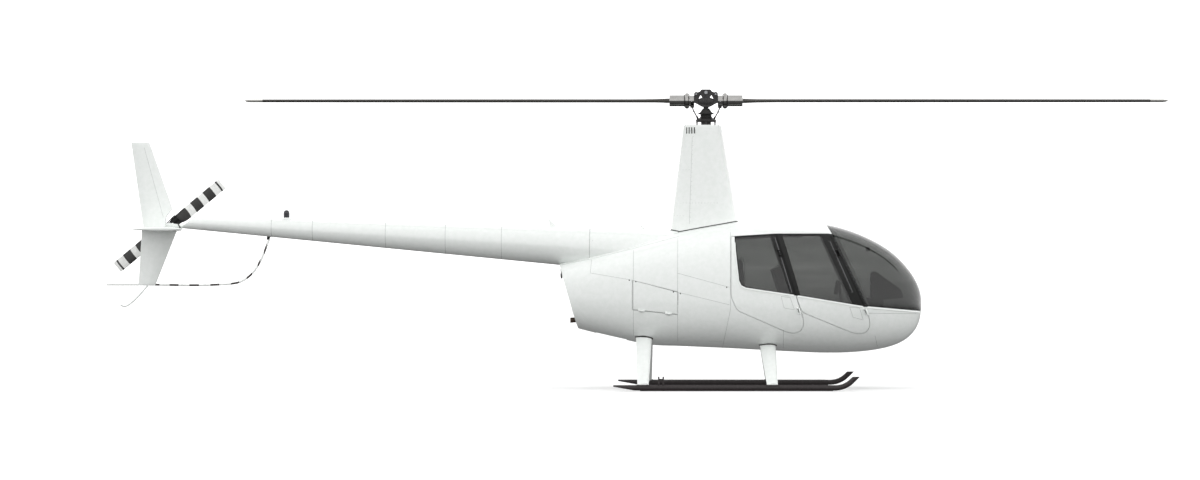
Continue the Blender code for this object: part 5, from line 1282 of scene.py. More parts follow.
for where, top, bottom in (("front", (0.666, 0.520, 0.177), (0.714, 0.056, 0.116)),
                           ("rear", (-0.670, 0.576, 0.175), (-0.668, 0.056, 0.120))):
    wall = strut(top, bottom)
    field = level(wall.reshape(-1, 3)).reshape(wall.shape[:2])
    first = np.argmax(field > 1.0, axis=0)
    along = wall[-1] - wall[0]
    along /= np.linalg.norm(along, axis=1, keepdims=True)
    hit = wall[first, np.arange(wall.shape[1])]
    for _ in range(12):
        near, ahead = level(hit), level(hit + along * 0.0005)
        hit = hit - along * ((near - 1) / (ahead - near) * 0.0005)[:, None]
    centre = hit.mean(axis=0)
    away = hit - centre
    away -= (away * along).sum(axis=1, keepdims=True) * along
    away /= np.linalg.norm(away, axis=1, keepdims=True)
    t = np.linspace(0, 1, 30)[:, None, None]
    leg = (hit - along * 0.006) + t * (wall[-1] - hit + along * 0.006)
    leg = outward(grid_shape(leg))
    # The rubber collar where the strut enters the belly is a real part; its black, drawn a little large, also serves as
    # painted shade at the join.
    collar = np.stack([hit + along * a + away * b for a, b in (
        (-0.006, 0.0), (-0.006, 0.012), (0.006, 0.0115), (0.014, 0.004), (0.015, 0.0))])
    collar = outward(grid_shape(collar, ends=(False, False)))
    reach = bottom[2] / 2
    saddle = [(np.cos(a), np.sin(a)) for a in np.linspace(np.pi / 6, np.pi * 5 / 6, 24)]
    outer = [(SKID_RADIUS + 0.004) * np.array(v) for v in saddle]
    inner = [(SKID_RADIUS + 0.0004) * np.array(v) for v in saddle[::-1]]
    rim = np.array(outer + inner) + (-SKID_Y, SKID_Z)
    sleeve = prism(rim, bottom[0] - reach - 0.012, bottom[0] + reach + 0.012, "X")
    bolts = merged(*[rod((bottom[0] + x, -SKID_Y + side * 0.016, SKID_Z + 0.022),
                         (bottom[0] + x, -SKID_Y + side * 0.016, SKID_Z + 0.035), 0.006, sides=6)
                     for x in (-reach + 0.012, reach - 0.012) for side in (-1, 1)])
    for side in ("right", "left"):
        turn = (lambda shape: shape) if side == "right" else mirrored
        node = f"leg_{where}_{side}"
        make(f"{where}_strut_{side}", turn(leg), ENAMEL, "airframe", "gear_paint", node)
        make(f"{where}_strut_collar_{side}", turn(collar), RUBBER, "airframe", "black_paint", node)
        make(f"{where}_strut_saddle_{side}", merged(turn(sleeve), turn(bolts)), POWDER, "airframe", "dark_steel", node)
print("landing gear done")

# %% [markdown]
# ## Rotor mast and controls
# The mast turns inside the fairing. The lower swash ring stands still on three push rods, and the upper one turns
# with the mast and moves the blades through two links.

# %% Mast, swash rings and links
TEETER_Z, BLADE_Z, ROTOR_RADIUS = 3.222, 3.134, 5.03
ribs = [(0.0605 + 0.0022 * np.cos(a * 6 * np.pi), 2.946 + 0.040 * a) for a in np.linspace(0, 1, 37)]
boot = lathe([(0.0284, 2.944), *ribs, (0.0615, 2.988), (0.086, 2.9885), (0.089, 2.9925), (0.084, 2.998),
              (0.068, 3.006), (0.058, 3.014), (0.054, 3.022), (0.046, 3.036), (0.034, 3.047), (0.0284, 3.050)],
             sides=64)
shaft = lathe(((0.0, 1.720), (0.028, 1.720), (0.028, 3.160), (0.024, 3.175), (0.024, 3.197), (0.0, 3.200)), sides=40)
eye = lathe(((0.0135, -0.020), (0.029, -0.020), (0.030, -0.019), (0.030, 0.019), (0.029, 0.020), (0.0135, 0.020),
             (0.0135, -0.020)), (0, 0, TEETER_Z), "Y", 40)
make("mast_shaft_and_eye", merged(shaft, eye), DARK_METAL, "main_rotor", "grey_alloy", "rotor_mast")
make("mast_boot", boot, RUBBER, "main_rotor", "black_paint", "rotor_mast", sharp=50)
upper_ring = lathe(((0.0284, 2.9126), (0.111, 2.9126), (0.113, 2.9146), (0.113, 2.922), (0.110, 2.9255),
                    (0.096, 2.932), (0.078, 2.944), (0.064, 2.957), (0.0284, 2.957)), sides=64)
lower_ring = lathe(((0.0528, 2.872), (0.0545, 2.872), (0.0545, 2.900), (0.058, 2.9035), (0.104, 2.9035),
                    (0.106, 2.9055), (0.106, 2.9105), (0.104, 2.912), (0.0528, 2.912), (0.0528, 2.872)), sides=64)
push_rods = []
for angle in np.radians((0, 180, 270)):
    out = np.array((np.cos(angle), np.sin(angle), 0))
    push_rods += [rod(out * 0.098 + (0, 0, 2.907), out * 0.098 + (0, 0, 2.862), 0.008),
                  rod(out * 0.098 + (0, 0, 2.862), out * 0.072 + (0, 0, 2.62), 0.006),
                  rod(out * 0.098 + (0, 0, 2.9135) - (0, 0, 0.004), out * 0.098 + (0, 0, 2.898), 0.012, sides=6)]
make("swash_ring_upper", upper_ring, DARK_METAL, "main_rotor", "grey_alloy", "swashplate_upper")
make("swash_ring_lower", merged(lower_ring, *push_rods), DARK_METAL, "airframe", "grey_alloy", "swashplate_lower")
for name, way in (("a", 1), ("b", -1)):
    flip = np.array((way, way, 1))
    low, bend, high = (np.array(p) * flip for p in ((0.092, 0.045, 2.945), (0.140, 0.1335, 3.030), (0.150, 0.1335, 3.074)))
    path = curve_through((low, low + (bend - low) * 0.5, bend - (bend - low) * 0.1, (bend + high) / 2, high), 40)
    nuts = [rod(low + (bend - low) * s, low + (bend - low) * (s + 0.06), 0.0105, sides=6) for s in (0.12, 0.80)]
    ends = [rod(low - (0, 0.009, 0.0), low + (0, 0.009, 0.0), 0.012), rod(high - (0, 0, 0.006), high + (0, 0, 0.006), 0.012)]
    foot = rounded_box(low - (0.010, 0.018, 0.020), low + (0.010, 0.018, -0.004), 0.003)
    make(f"pitch_link_{name}_rod", merged(sweep(path, 0.0066, 16, up=(0, 1, 0)), *nuts, *ends, foot), DARK_METAL,
         "main_rotor", "grey_alloy", f"pitch_link_{name}")

# %% [markdown]
# ## Rotor hub
# Two cheek plates stand on either side of the mast and rock on one bolt through its eye. Each plate has a cap, two
# raking arms with windows between them, and a bearing boss below. The blade grips grow out of the ends.

# %% Hub and grips
def mirror_x(outline):
    """An outline of the right half, given from top to bottom, with its left half added."""
    half = [tuple(point) for point in outline]
    return half + [(-x, z) for x, z in half[::-1] if abs(x) > 1e-6]


CHEEK = rounded(mirror_x(((0.052, 3.256), (0.061, 3.236), (0.088, 3.226), (0.118, 3.214), (0.131, 3.188),
                          (0.130, 3.115), (0.096, 3.100), (0.060, 3.078), (0.030, 3.066))), 0.010, 5)
WINDOW = rounded(((0.059, 3.200), (0.083, 3.152), (0.040, 3.168)), 0.006, 4)
for side, low, high in (("right", -0.062, -0.034), ("left", 0.034, 0.062)):
    plate = mesh_object(f"hub_cheek_{side}", prism(CHEEK, low, high))
    for way in (-1, 1):
        combine(plate, mesh_object("hole", prism([(x * way, z) for x, z in WINDOW], low - 0.01, high + 0.01)),
                "DIFFERENCE")
    plate.data.shade_flat()
    carry(plate, DARK_METAL, "rotor_head", "dark_steel", "rotor_hub")

hub = []
for side in (-1, 1):
    face = side * 0.062
    boss = lathe(((0.0, 0.0), (0.036, 0.0), (0.034, 0.006), (0.020, 0.010), (0.0, 0.010)), sides=48)[0]
    stretch = boss * (2.4, 1.0, 1.0)
    oval = np.stack([stretch[:, 0], face + side * (stretch[:, 2] - 0.001), 3.126 + stretch[:, 1]], axis=1)
    hub.append(outward((oval, lathe(((0.0, 0.0), (0.036, 0.0), (0.034, 0.006), (0.020, 0.010), (0.0, 0.010)),
                                    sides=48)[1])))
    hub.append(rod((0, face, 3.126), (0, face + side * 0.018, 3.126), 0.013, sides=6))
    hub.append(rod((0, face, 3.126), (0, face + side * 0.013, 3.126), 0.021))
for way in (-1, 1):
    a, b = sorted((0.088 * way, 0.130 * way))
    hub.append(rounded_box((a, -0.040, 3.112), (b, 0.040, 3.198), 0.006))
    hub.append(lathe(((0.0, -0.066), (0.022, -0.066), (0.024, -0.062), (0.024, 0.062), (0.022, 0.066), (0.0, 0.066)),
                     (0.106 * way, 0, 3.205), "Y", 24))
    root = sorted((0.130 * way, 0.172 * way))
    horn_y = sorted((0.0, 0.119 * way))
    horn_x = sorted((0.135 * way, 0.165 * way))
    hub.append(rounded_box((root[0], -0.024, 3.058), (root[1], 0.024, 3.105), 0.006))
    hub.append(rounded_box((horn_x[0], horn_y[0], 3.0565), (horn_x[1], horn_y[1], 3.0725), 0.005))
make("hub_yoke", merged(*hub), DARK_METAL, "rotor_head", "dark_steel", "rotor_hub", sharp=30)
bolt = [rod((0, -0.073, TEETER_Z), (0, 0.073, TEETER_Z), 0.0125), rod((0, -0.080, TEETER_Z), (0, -0.062, TEETER_Z), 0.020, sides=6),
        rod((0, 0.062, TEETER_Z), (0, 0.080, TEETER_Z), 0.020, sides=6)]
for way in (-1, 1):
    for side in (-1, 1):
        bolt.append(rod((0.155 * way, side * 0.056, 3.128), (0.155 * way, side * 0.070, 3.128), 0.0085, sides=6))
        bolt.append(rod((0.106 * way, side * 0.060, 3.205), (0.106 * way, side * 0.075, 3.205), 0.011, sides=6))
make("hub_bolts", merged(*bolt), STEEL, "rotor_head", "grey_alloy", "rotor_hub")

GRIP = ((0.0, 0.128), (0.054, 0.128), (0.058, 0.132), (0.0585, 0.184), (0.078, 0.188), (0.0845, 0.194), (0.0860, 0.207),
        (0.0845, 0.222), (0.078, 0.228), (0.064, 0.232), (0.0615, 0.236), (0.0615, 0.392), (0.058, 0.399), (0.0, 0.4002))
grips = merged(*[lathe([(r, h * way) for r, h in GRIP], (0, 0, BLADE_Z), "X", 64) for way in (-1, 1)])
make("blade_grips", grips, GRIP_ALLOY_PAINTED_REFLECTION, "rotor_head", "grey_alloy", "rotor_hub", sharp=30)
clamps = []
for way in (-1, 1):
    angle = np.arange(8) * np.pi / 4 + np.pi / 8
    for a in angle:
        out = np.array((0, np.cos(a), np.sin(a)))
        spot = np.array((0.186 * way, 0, BLADE_Z)) + out * 0.0715
        clamps.append(rod(spot - (0.006 * way, 0, 0), spot + (0.002 * way, 0, 0), 0.005, sides=6))
    clamps.append(rod((0.232 * way, 0, BLADE_Z), (0.238 * way, 0, BLADE_Z), 0.067, sides=48))
make("grip_clamps", merged(*clamps), DARK_METAL, "rotor_head", "dark_steel", "rotor_hub")

# %% [markdown]
# ## Rotor blades
# A main blade is one aerofoil of even chord with a root that thickens into the grip and a swept, squared tip. Its
# last stretch is painted light. The tail blades are short, with rounded root cuffs and wide black and white bands.

# %% Main blades
BLADE_TABLE = np.array(((0.4004, 0.055, 0.055, 0.050), (0.430, 0.056, 0.056, 0.050), (0.470, 0.060, 0.062, 0.045),
                        (0.560, 0.064, 0.110, 0.040), (0.680, 0.0637, 0.165, 0.038), (0.800, 0.0635, 0.1905, 0.037),
                        (2.700, 0.0635, 0.1905, 0.036), (4.980, 0.0635, 0.1905, 0.033), (5.015, 0.060, 0.189, 0.024),
                        (ROTOR_RADIUS, 0.050, 0.185, 0.008)))


def blade_rows(table, radii, floor, points=36):
    """Chord places and heights at each radius: half thickness is thickness / 2 times 2.5 root s (1 - s)^0.9, no
    thinner than the trailing edge."""
    lead, trail, thick = (np.interp(radii, table[:, 0], table[:, i])[:, None] for i in (1, 2, 3))
    share = (1 - np.cos(np.linspace(0, np.pi, points))) / 2
    half = np.minimum(thick / 2 * np.maximum(2.5 * np.sqrt(share) * (1 - share) ** 0.9, floor), thick / 2)
    run = lead - (lead + trail) * share
    return np.concatenate([run, run[:, ::-1]], axis=1), np.concatenate([half, -half[:, ::-1]], axis=1)


radii = np.concatenate([np.linspace(0.4004, 0.80, 30), np.linspace(0.85, 4.96, 60), np.linspace(4.98, ROTOR_RADIUS, 8)])
run, height = blade_rows(BLADE_TABLE, radii, 0.06)
for name, way in (("a", 1), ("b", -1)):
    points = np.stack([way * radii[:, None] + 0 * run, way * run, BLADE_Z + height], axis=-1)
    root = [rod((way * r, -0.036, BLADE_Z + 0.0), (way * r, 0.036, BLADE_Z + 0.0), 0.010) for r in (0.44,)]
    make(f"main_blade_{name}_skin", merged(outward(grid_shape(points)), *root), BLADE_PAINT, "rotor_head",
         "blade_paint", f"main_blade_{name}", sharp=40)
print("main rotor: span", round(2 * radii[-1], 3), "m")

# %% Tail rotor
TAIL_CENTRE, TAIL_PARK = np.array((-5.881, 0.230, 1.774)), math.radians(40)
TAIL_TABLE = np.array(((0.1254, 0.046, 0.062, 0.030), (0.140, 0.047, 0.068, 0.028), (0.165, 0.047, 0.075, 0.021),
                       (0.200, 0.049, 0.081, 0.018), (0.700, 0.048, 0.083, 0.014), (0.722, 0.046, 0.083, 0.011),
                       (0.735, 0.038, 0.079, 0.005)))
TAIL_STOPS = (0, 0.252, 0.329, 0.432, 0.506, 0.606, 0.680, 0.701)
TAIL_PAINT = finish("banded_polyurethane", "F0F1EF", "E9EAE8", 0.003, (0.3, 0.45), 0.00003,
                    paint=bands(("radius", tuple(TAIL_CENTRE + (MAST_X, 0, 0)), 0.75, TAIL_STOPS), ("2C2B2B", "FFFFFF")))
direction = np.array((math.cos(TAIL_PARK), 0, math.sin(TAIL_PARK)))
chordwise = np.array((-direction[2], 0, direction[0]))
radii = np.concatenate([np.linspace(0.1254, 0.21, 22), np.linspace(0.22, 0.70, 40), np.linspace(0.705, 0.735, 9)])
run, height = blade_rows(TAIL_TABLE, radii, 0.10, 28)
for name, way in (("a", 1), ("b", -1)):
    points = (TAIL_CENTRE + way * radii[:, None, None] * direction + way * run[..., None] * chordwise
              + height[..., None] * np.array((0, 1, 0)))
    make(f"tail_blade_{name}_skin", outward(grid_shape(points)), TAIL_PAINT, "tail_rotor", "tail_blade_paint",
         f"tail_blade_{name}", sharp=40)
x, y, z = TAIL_CENTRE
parts = [lathe(((0.0, 0.1256), (0.021, 0.1256), (0.021, 0.190), (0.030, 0.198), (0.030, 0.262), (0.021, 0.268),
                (0.016, 0.275), (0.0, 0.275)), (x, 0, z), "Y", 32),
         rod(TAIL_CENTRE - direction * 0.125, TAIL_CENTRE + direction * 0.125, 0.025, sides=32),
         lathe(((0.0215, 0.140), (0.034, 0.140), (0.036, 0.144), (0.036, 0.156), (0.0215, 0.160), (0.0215, 0.140)),
               (x, 0, z), "Y", 32)]
for way in (-1, 1):
    horn = TAIL_CENTRE + way * direction * 0.110
    tip = horn + way * chordwise * 0.052 - (0, 0.008, 0)
    parts += [rod(horn, tip, 0.007), rod(tip, np.array((x, 0.150, z)) + way * chordwise * 0.034, 0.005),
              rod(horn - (0, 0.030, 0), horn + (0, 0.030, 0), 0.009, sides=6),
              lathe(((0.0, 0.0), (0.0285, 0.0), (0.030, 0.003), (0.030, 0.010), (0.0285, 0.013), (0.0, 0.013)))]
    points, quads = parts.pop()
    frame_of = np.stack([chordwise, np.array((0, 1.0, 0)), direction * way])
    parts.append(outward((TAIL_CENTRE + way * direction * 0.112 + points @ frame_of, quads)))
root_plates = []
for way in (-1, 1):
    outline = np.array(((0.020, -0.030), (0.062, -0.052), (0.1252, -0.061), (0.1252, 0.045), (0.070, 0.043),
                        (0.020, 0.032)))
    for low, high in ((-0.013, -0.009), (0.009, 0.013)):
        rows = [TAIL_CENTRE + way * (outline[:, :1] * direction + outline[:, 1:] * chordwise) + (0, depth, 0)
                for depth in (low, high)]
        root_plates.append(outward(grid_shape(np.stack(rows))))
make("tail_root_plates", merged(*root_plates, *parts[1:2], *parts[3:]), SATIN_BLACK, "tail_rotor", "black_paint", "tail_rotor_hub", sharp=40)
make("tail_rotor_yoke", merged(parts[0], parts[2]), CAST, "tail_rotor", "grey_alloy", "tail_rotor_hub")
print("tail rotor done")

# %% [markdown]
# ## Seats
# Each seat is a cushion and a back, both padded. A cushion starts as a block with soft edges, is filled by a short
# cloth simulation under a little pressure, and then gets its sewn channels. The two seats of a row are mirror
# images, so each cushion is filled once.

# %% Cushions
def slab_axes(low_front, high_front):
    """The upward and forward directions of a seat back, from two points of its front face in the side view."""
    up = np.subtract(high_front, low_front)
    up /= np.linalg.norm(up)
    return np.array((up[0], 0, up[1])), np.array((up[1], 0, -up[0]))


def filled(name, middle, axes, half, channels, most=0.010):
    """A padded form: a soft-edged block along three directions, swollen by cloth under pressure with its points
    held to a furthest move, with channels pressed across it at shares of its first direction."""
    points, quads = rounded_box(-np.array(half) + 0.008, np.array(half) - 0.008, min(half) * 0.55, steps=7)
    axes = np.array(axes)
    piece = mesh_object(name, outward((np.array(middle) + points @ axes, quads)))
    remesh = piece.modifiers.new("even", "REMESH")
    remesh.mode, remesh.voxel_size = "VOXEL", 0.009
    mesh = bpy.data.meshes.new_from_object(piece.evaluated_get(bpy.context.evaluated_depsgraph_get()))
    piece.modifiers.clear()
    piece.data = mesh
    count = len(mesh.vertices)
    start, end = np.empty(count * 3), np.empty(count * 3)
    mesh.vertices.foreach_get("co", start)
    cloth = piece.modifiers.new("filling", "CLOTH")
    cloth.settings.use_pressure = True
    cloth.settings.uniform_pressure_force = 4
    cloth.settings.effector_weights.gravity = 0
    for step in range(1, 21):
        bpy.context.scene.frame_set(step)
    swollen = piece.evaluated_get(bpy.context.evaluated_depsgraph_get()).to_mesh()
    swollen.vertices.foreach_get("co", end)
    piece.modifiers.clear()
    bpy.context.scene.frame_set(1)
    move = (end - start).reshape(-1, 3)
    length = np.linalg.norm(move, axis=1, keepdims=True)
    start = start.reshape(-1, 3) + move * np.minimum(1, most / np.maximum(length, 1e-9))
    start = start.reshape(-1, 3)
    local = (start - (MAST_X, 0, 0) - middle) @ axes.T
    edge = np.clip(1 - np.abs(local[:, 1]) / half[1], 0, 1)
    depth = sum(0.007 * np.exp(-((local[:, 0] / half[0] - share) * half[0] / 0.007) ** 2) for share in channels)
    start -= axes[2] * (depth * np.sign(local[:, 2]) * (edge > 0.05))[:, None]
    mesh.vertices.foreach_set("co", start.ravel())
    finer = piece.modifiers.new("finer", "SUBSURF")
    finer.levels = finer.render_levels = 1
    mesh = bpy.data.meshes.new_from_object(piece.evaluated_get(bpy.context.evaluated_depsgraph_get()))
    piece.modifiers.clear()
    piece.data = mesh
    mesh.shade_smooth()
    return piece


def piping(middle, axes, half, inset=0.004):
    """A round cord sewn round the edge of a cushion's face."""
    outline = rounded(((-1, -1), (1, -1), (1, 1), (-1, 1)), 0.16, 8) * (half[0] - inset, half[1] - inset)
    local = np.stack([outline[:, 0], outline[:, 1], np.full(len(outline), half[2] * 0.70)], axis=1)
    path = np.array(middle) + local @ np.array(axes)
    path = np.concatenate([path, path[:2]])
    return sweep(path, 0.0035, 8, up=tuple(axes[2]), ends=(False, False))


SEATS = {
    "front": (((1.167, -0.2765, 0.808), (0.216, 0.2135, 0.044)), ((0.960, 0.900), (0.815, 1.340)), (0.826, 1.1125),
              (0.226, 0.2135, 0.058)),
    "rear": (((0.640, -0.2765, 0.805), (0.176, 0.2135, 0.042)), ((0.440, 0.900), (0.385, 1.420)), (0.364, 1.160),
             (0.262, 0.2135, 0.055)),
}
for row, ((base, base_half), face, back, back_half) in SEATS.items():
    up, ahead = slab_axes(*face)
    flat = ((1.0, 0, 0), (0, 1.0, 0), (0, 0, 1.0))
    lean = (up, (0, 1.0, 0), ahead)
    cushion = filled(f"{row}_seat_cushion_right", base, flat, base_half, (-0.45, 0.05, 0.55))
    rest = filled(f"{row}_seat_back_right", (back[0], -0.2765, back[1]), lean, back_half, (-0.5, 0.0, 0.5))
    cord = merged(piping(base, flat, base_half), piping((back[0], -0.2765, back[1]), lean, back_half))
    pan = rounded_box((base[0] - base_half[0] + 0.004, -0.488, 0.7605), (base[0] + base_half[0] - 0.004, -0.065, 0.775),
                      0.005)
    back_board = rounded_box((-back_half[0] + 0.02, -0.20, -back_half[2] - 0.004),
                             (back_half[0] - 0.02, 0.20, -back_half[2] + 0.012), 0.005)
    back_board = outward((np.array((back[0], -0.2765, back[1])) + back_board[0] @ np.array(lean), back_board[1]))
    for side in ("right", "left"):
        node = f"seat_{row}_{side}"
        for piece in (cushion, rest):
            mine = piece if side == "right" else both_sides(piece, piece.name.replace("right", "left"))
            carry(mine, LEATHER, "airframe", "seat_leather", node)
        turn = (lambda shape: shape) if side == "right" else mirrored
        make(f"{row}_seat_piping_{side}", turn(cord), RUBBER, "airframe", "seat_leather", node)
        make(f"{row}_seat_shell_{side}", merged(turn(pan), turn(back_board)), TRIM, "airframe", "cabin_trim", node)
print("seats filled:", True)

# %% [markdown]
# ## Belts, console and controls
# The belts are flat webbing. The console stands between the front occupants' feet, with round gauges in its
# face, and one cyclic stick carries a crossbar with a grip for each of them.

# %% Belts
belts, buckles = [], []
for row, ((base, base_half), face, back, back_half) in SEATS.items():
    up, ahead = slab_axes(*face)
    middle = np.array((back[0], -0.2765, back[1]))
    for side in (-1, 1):
        strap = [middle + up * a * back_half[0] + ahead * (back_half[2] + b) + np.array((0, side * c, 0))
                 for a, b, c in ((0.98, -0.050, 0.075), (1.02, -0.004, 0.074), (0.90, 0.012, 0.072), (0.3, 0.012, 0.062),
                                 (-0.3, 0.012, 0.050), (-0.62, 0.012, 0.030))]
        path = curve_through(strap, 40)
        out = np.cross(np.gradient(path, axis=0), (0, 1.0, 0))
        out *= np.sign((out @ ahead))[:, None] / np.linalg.norm(out, axis=1, keepdims=True)
        belts.append(ribbon(path, out, 0.022, -0.0006, 0.0008))
    lap = [middle - up * back_half[0] * 0.70 + ahead * (back_half[2] + b) + np.array((0, c, 0))
           for b, c in ((-0.030, -0.213), (0.006, -0.19), (0.014, -0.09), (0.016, 0.0), (0.014, 0.09), (0.006, 0.19),
                        (-0.030, 0.213))]
    path = curve_through(lap, 40)
    belts.append(ribbon(path, np.broadcast_to(ahead, path.shape), 0.022, -0.0006, 0.0008))
    spot = middle - up * back_half[0] * 0.70 + ahead * (back_half[2] + 0.020)
    points, quads = rounded_box((-0.030, -0.026, -0.006), (0.030, 0.026, 0.006), 0.005)
    buckles.append(outward((spot + points @ np.array((up, (0, 1.0, 0), ahead)), quads)))
belts, buckles = merged(*belts), merged(*buckles)
WEBBING = finish("polyester_webbing", "2B2B2D", "353537", 0.0012, (0.75, 0.9), 0.0002, stretch=(1, 8, 1))
make("seat_belts", merged(belts, mirrored(belts)), WEBBING, "airframe", "seat_leather")
make("belt_buckles", merged(buckles, mirrored(buckles)), STEEL, "airframe", "grey_alloy")

# %% Console and controls
POD = rounded(((1.800, 0.955), (1.800, 1.262), (1.840, 1.277), (2.120, 1.075), (2.150, 0.985)), 0.02)
pod_rows = np.array([-0.185, -0.183, -0.178, 0.178, 0.183, 0.185])
shrink = np.array([0.982, 0.994, 1.0, 1.0, 0.994, 0.982])
centre = POD.mean(axis=0)
pod = np.stack([np.stack([v[:, 0], np.full(len(POD), y), v[:, 1]], axis=1)
                for y, k in zip(pod_rows, shrink) for v in [centre + (POD - centre) * k]])
stand = rounded_box((1.700, -0.105, 0.5155), (1.935, 0.105, 0.985), 0.012)
make("compass_case", rounded_box((1.740, -0.024, 1.494), (1.788, 0.024, 1.543), 0.010), TRIM, "airframe",
     "cabin_trim")
make("instrument_pod", merged(outward(grid_shape(pod)), stand), TRIM, "airframe", "cabin_trim", "instrument_console",
     sharp=30)
dials, bezels = [], []
for y, z, size in [(c * 0.088, 1.190 - r * 0.098, 0.037) for r in (0, 1) for c in (-1.5, -0.5, 0.5, 1.5)] + [
        (c * 0.062, 1.020, 0.022) for c in (-2, -1, 0, 1, 2)]:
    bezels.append(lathe(((size + 0.005, 1.800), (size + 0.005, 1.794), (size, 1.792), (size - 0.002, 1.796),
                         (size - 0.002, 1.800)), (0, y, z), "X", 28))
    dials.append(lathe(((0.0, 1.7965), (size - 0.0025, 1.7965), (size - 0.0025, 1.7975), (0.0, 1.7975)), (0, y, z), "X", 28))
radios = [rounded_box((1.690, -0.080, z), (1.705, 0.080, z + 0.050), 0.003) for z in (0.64, 0.70, 0.76, 0.82, 0.88)]
knobs = [rod((1.684, side * 0.062, z + 0.025), (1.692, side * 0.062, z + 0.025), 0.009)
         for z in (0.64, 0.70, 0.76, 0.82, 0.88) for side in (-1, 1)]
make("gauge_bezels", merged(*bezels, *knobs), DARK_METAL, "airframe", "cabin_trim", "instrument_console")
make("gauge_faces", merged(*dials), LENS, "airframe", "cabin_trim", "instrument_console")
make("radio_faces", merged(*radios), SATIN_BLACK, "airframe", "cabin_trim", "instrument_console")
stick = sweep(curve_through(((1.500, 0, 0.642), (1.492, 0, 0.75), (1.470, 0, 0.98), (1.455, 0, 1.155)), 40), 0.0145, 16,
              up=(0, 1, 0))
crossbar = sweep(curve_through(((1.437, -0.300, 1.150), (1.452, -0.26, 1.151), (1.455, 0, 1.155), (1.452, 0.26, 1.151),
                                (1.437, 0.300, 1.150)), 60), 0.0115, 14)
grips = []
for y in (-0.29, 0.29):
    line = curve_through(((1.444, y, 1.172), (1.430, y, 1.10), (1.415, y, 1.020)), 24)
    grips.append(sweep(line, 0.0165 + 0.0015 * np.cos(np.linspace(0, 10 * np.pi, 24)), 14, up=(0, 1, 0)))
gaiter = lathe([(0.030 + 0.006 * np.cos(a * 8 * np.pi), 0.515 + a * 0.13) for a in np.linspace(0, 1, 33)], (1.50, 0, 0))
make("cyclic_frame", merged(stick, crossbar), DARK_METAL, "airframe", "black_paint", "cyclic_stick")
make("cyclic_grips", merged(*grips, gaiter), RUBBER, "airframe", "black_paint", "cyclic_stick")
pedals = [rod((1.985, -0.29, 0.600), (1.985, 0.29, 0.600), 0.010)]
for y in (-0.25, -0.13, 0.13, 0.25):
    pedals.append(rounded_box((1.946, y - 0.030, 0.612), (1.962, y + 0.030, 0.768), 0.005))
    pedals += [rod((1.985, y, 0.600), (1.958, y, 0.640), 0.006)]
for y in (-0.19, 0.19):
    pedals.append(rounded_box((1.975, y - 0.012, 0.5155), (1.995, y + 0.012, 0.606), 0.004))
make("rudder_pedals", merged(*pedals), CAST, "airframe", "grey_alloy", "pedals")

# %% [markdown]
# ## Engine
# The engine is a plain flat-four stand-in: a case, four finned cylinders, an exhaust and a squirrel-cage fan. It
# shows through the service doors, the belly hole and the rear screen.

# %% Engine and fan
engine = [rounded_box((-1.02, -0.19, 0.600), (-0.34, 0.19, 0.960), 0.02)]
for x in (-0.88, -0.50):
    for side in (-1, 1):
        for j in range(9):
            low, high = sorted((side * (0.196 + j * 0.0165), side * (0.2025 + j * 0.0165)))
            engine.append(rounded_box((x - 0.11, low, 0.720), (x + 0.11, high, 0.900), 0.003, steps=2))
        low, high = sorted((side * 0.18, side * 0.345))
        engine.append(rounded_box((x - 0.085, low, 0.745), (x + 0.085, high, 0.875), 0.01))
struts = [rod((-0.36, y, z), (0.2496, y, z), 0.014) for y in (-0.16, 0.16) for z in (0.66, 0.92)]
struts.append(rod((-1.00, 0, 0.860), (-1.175, 0, 0.860), 0.050, sides=32))
make("engine_case_and_fins", merged(*engine, *struts), ENGINE_GREY, "airframe", "grey_alloy", "engine_block")
pipe = curve_through(((-0.95, -0.12, 0.64), (-1.15, -0.12, 0.70), (-1.30, -0.12, 0.75), (-1.475, -0.12, 0.742)), 40)
SCALED_STEEL = finish("heat_scaled_steel", "4A4038", "5E5149", 0.003, (0.5, 0.75), 0.0001, Metallic=0.7)
tube = sweep(pipe, 0.028, 28, ends=(True, False))
bore = sweep(pipe[8:], 0.025, 28, ends=(True, False))
rim = lathe(((0.025, 0.0), (0.028, 0.0), (0.028, 0.002), (0.025, 0.002), (0.025, 0.0)), (-1.476, -0.12, 0.742), "X", 28)
make("exhaust_pipe", merged(tube, (bore[0], flipped(bore[1])), rim), SCALED_STEEL, "airframe", "dark_steel", "engine_block")
fan = [lathe(((0.05, -1.1760), (0.205, -1.1765), (0.205, -1.1795), (0.05, -1.1795), (0.05, -1.1760)), (0, 0, 0.985), "X", 64),
       lathe(((0.150, -1.2765), (0.205, -1.2775), (0.205, -1.2805), (0.150, -1.2805), (0.150, -1.2765)), (0, 0, 0.985), "X", 64),
       lathe(((0.0, -1.180), (0.06, -1.180), (0.05, -1.235), (0.0, -1.240)), (0, 0, 0.985), "X", 32)]
vane = rounded_box((-1.279, -0.0015, 0.160), (-1.178, 0.0015, 0.203), 0.001, steps=2)
for a in np.arange(28) * 2 * np.pi / 28:
    turn = np.array(((1, 0, 0), (0, np.cos(a), np.sin(a)), (0, -np.sin(a), np.cos(a))))
    fan.append(outward((vane[0] @ turn + (0, 0, 0.985), vane[1])))
make("fan_wheel", merged(*fan), CAST, "airframe", "grey_alloy", "cooling_fan")
print("inside done")


# %% [markdown]
# ## Camera, light and floor
# The photograph was taken from far off and level with the cabin, so the lens is long. The studio is a pale floor
# under a white sky with one large soft lamp above, which leaves the top edges bright and the belly grey. The floor
# throws no diffuse light back: the lower half of the sky does that, as dim as the airfield in the photograph.

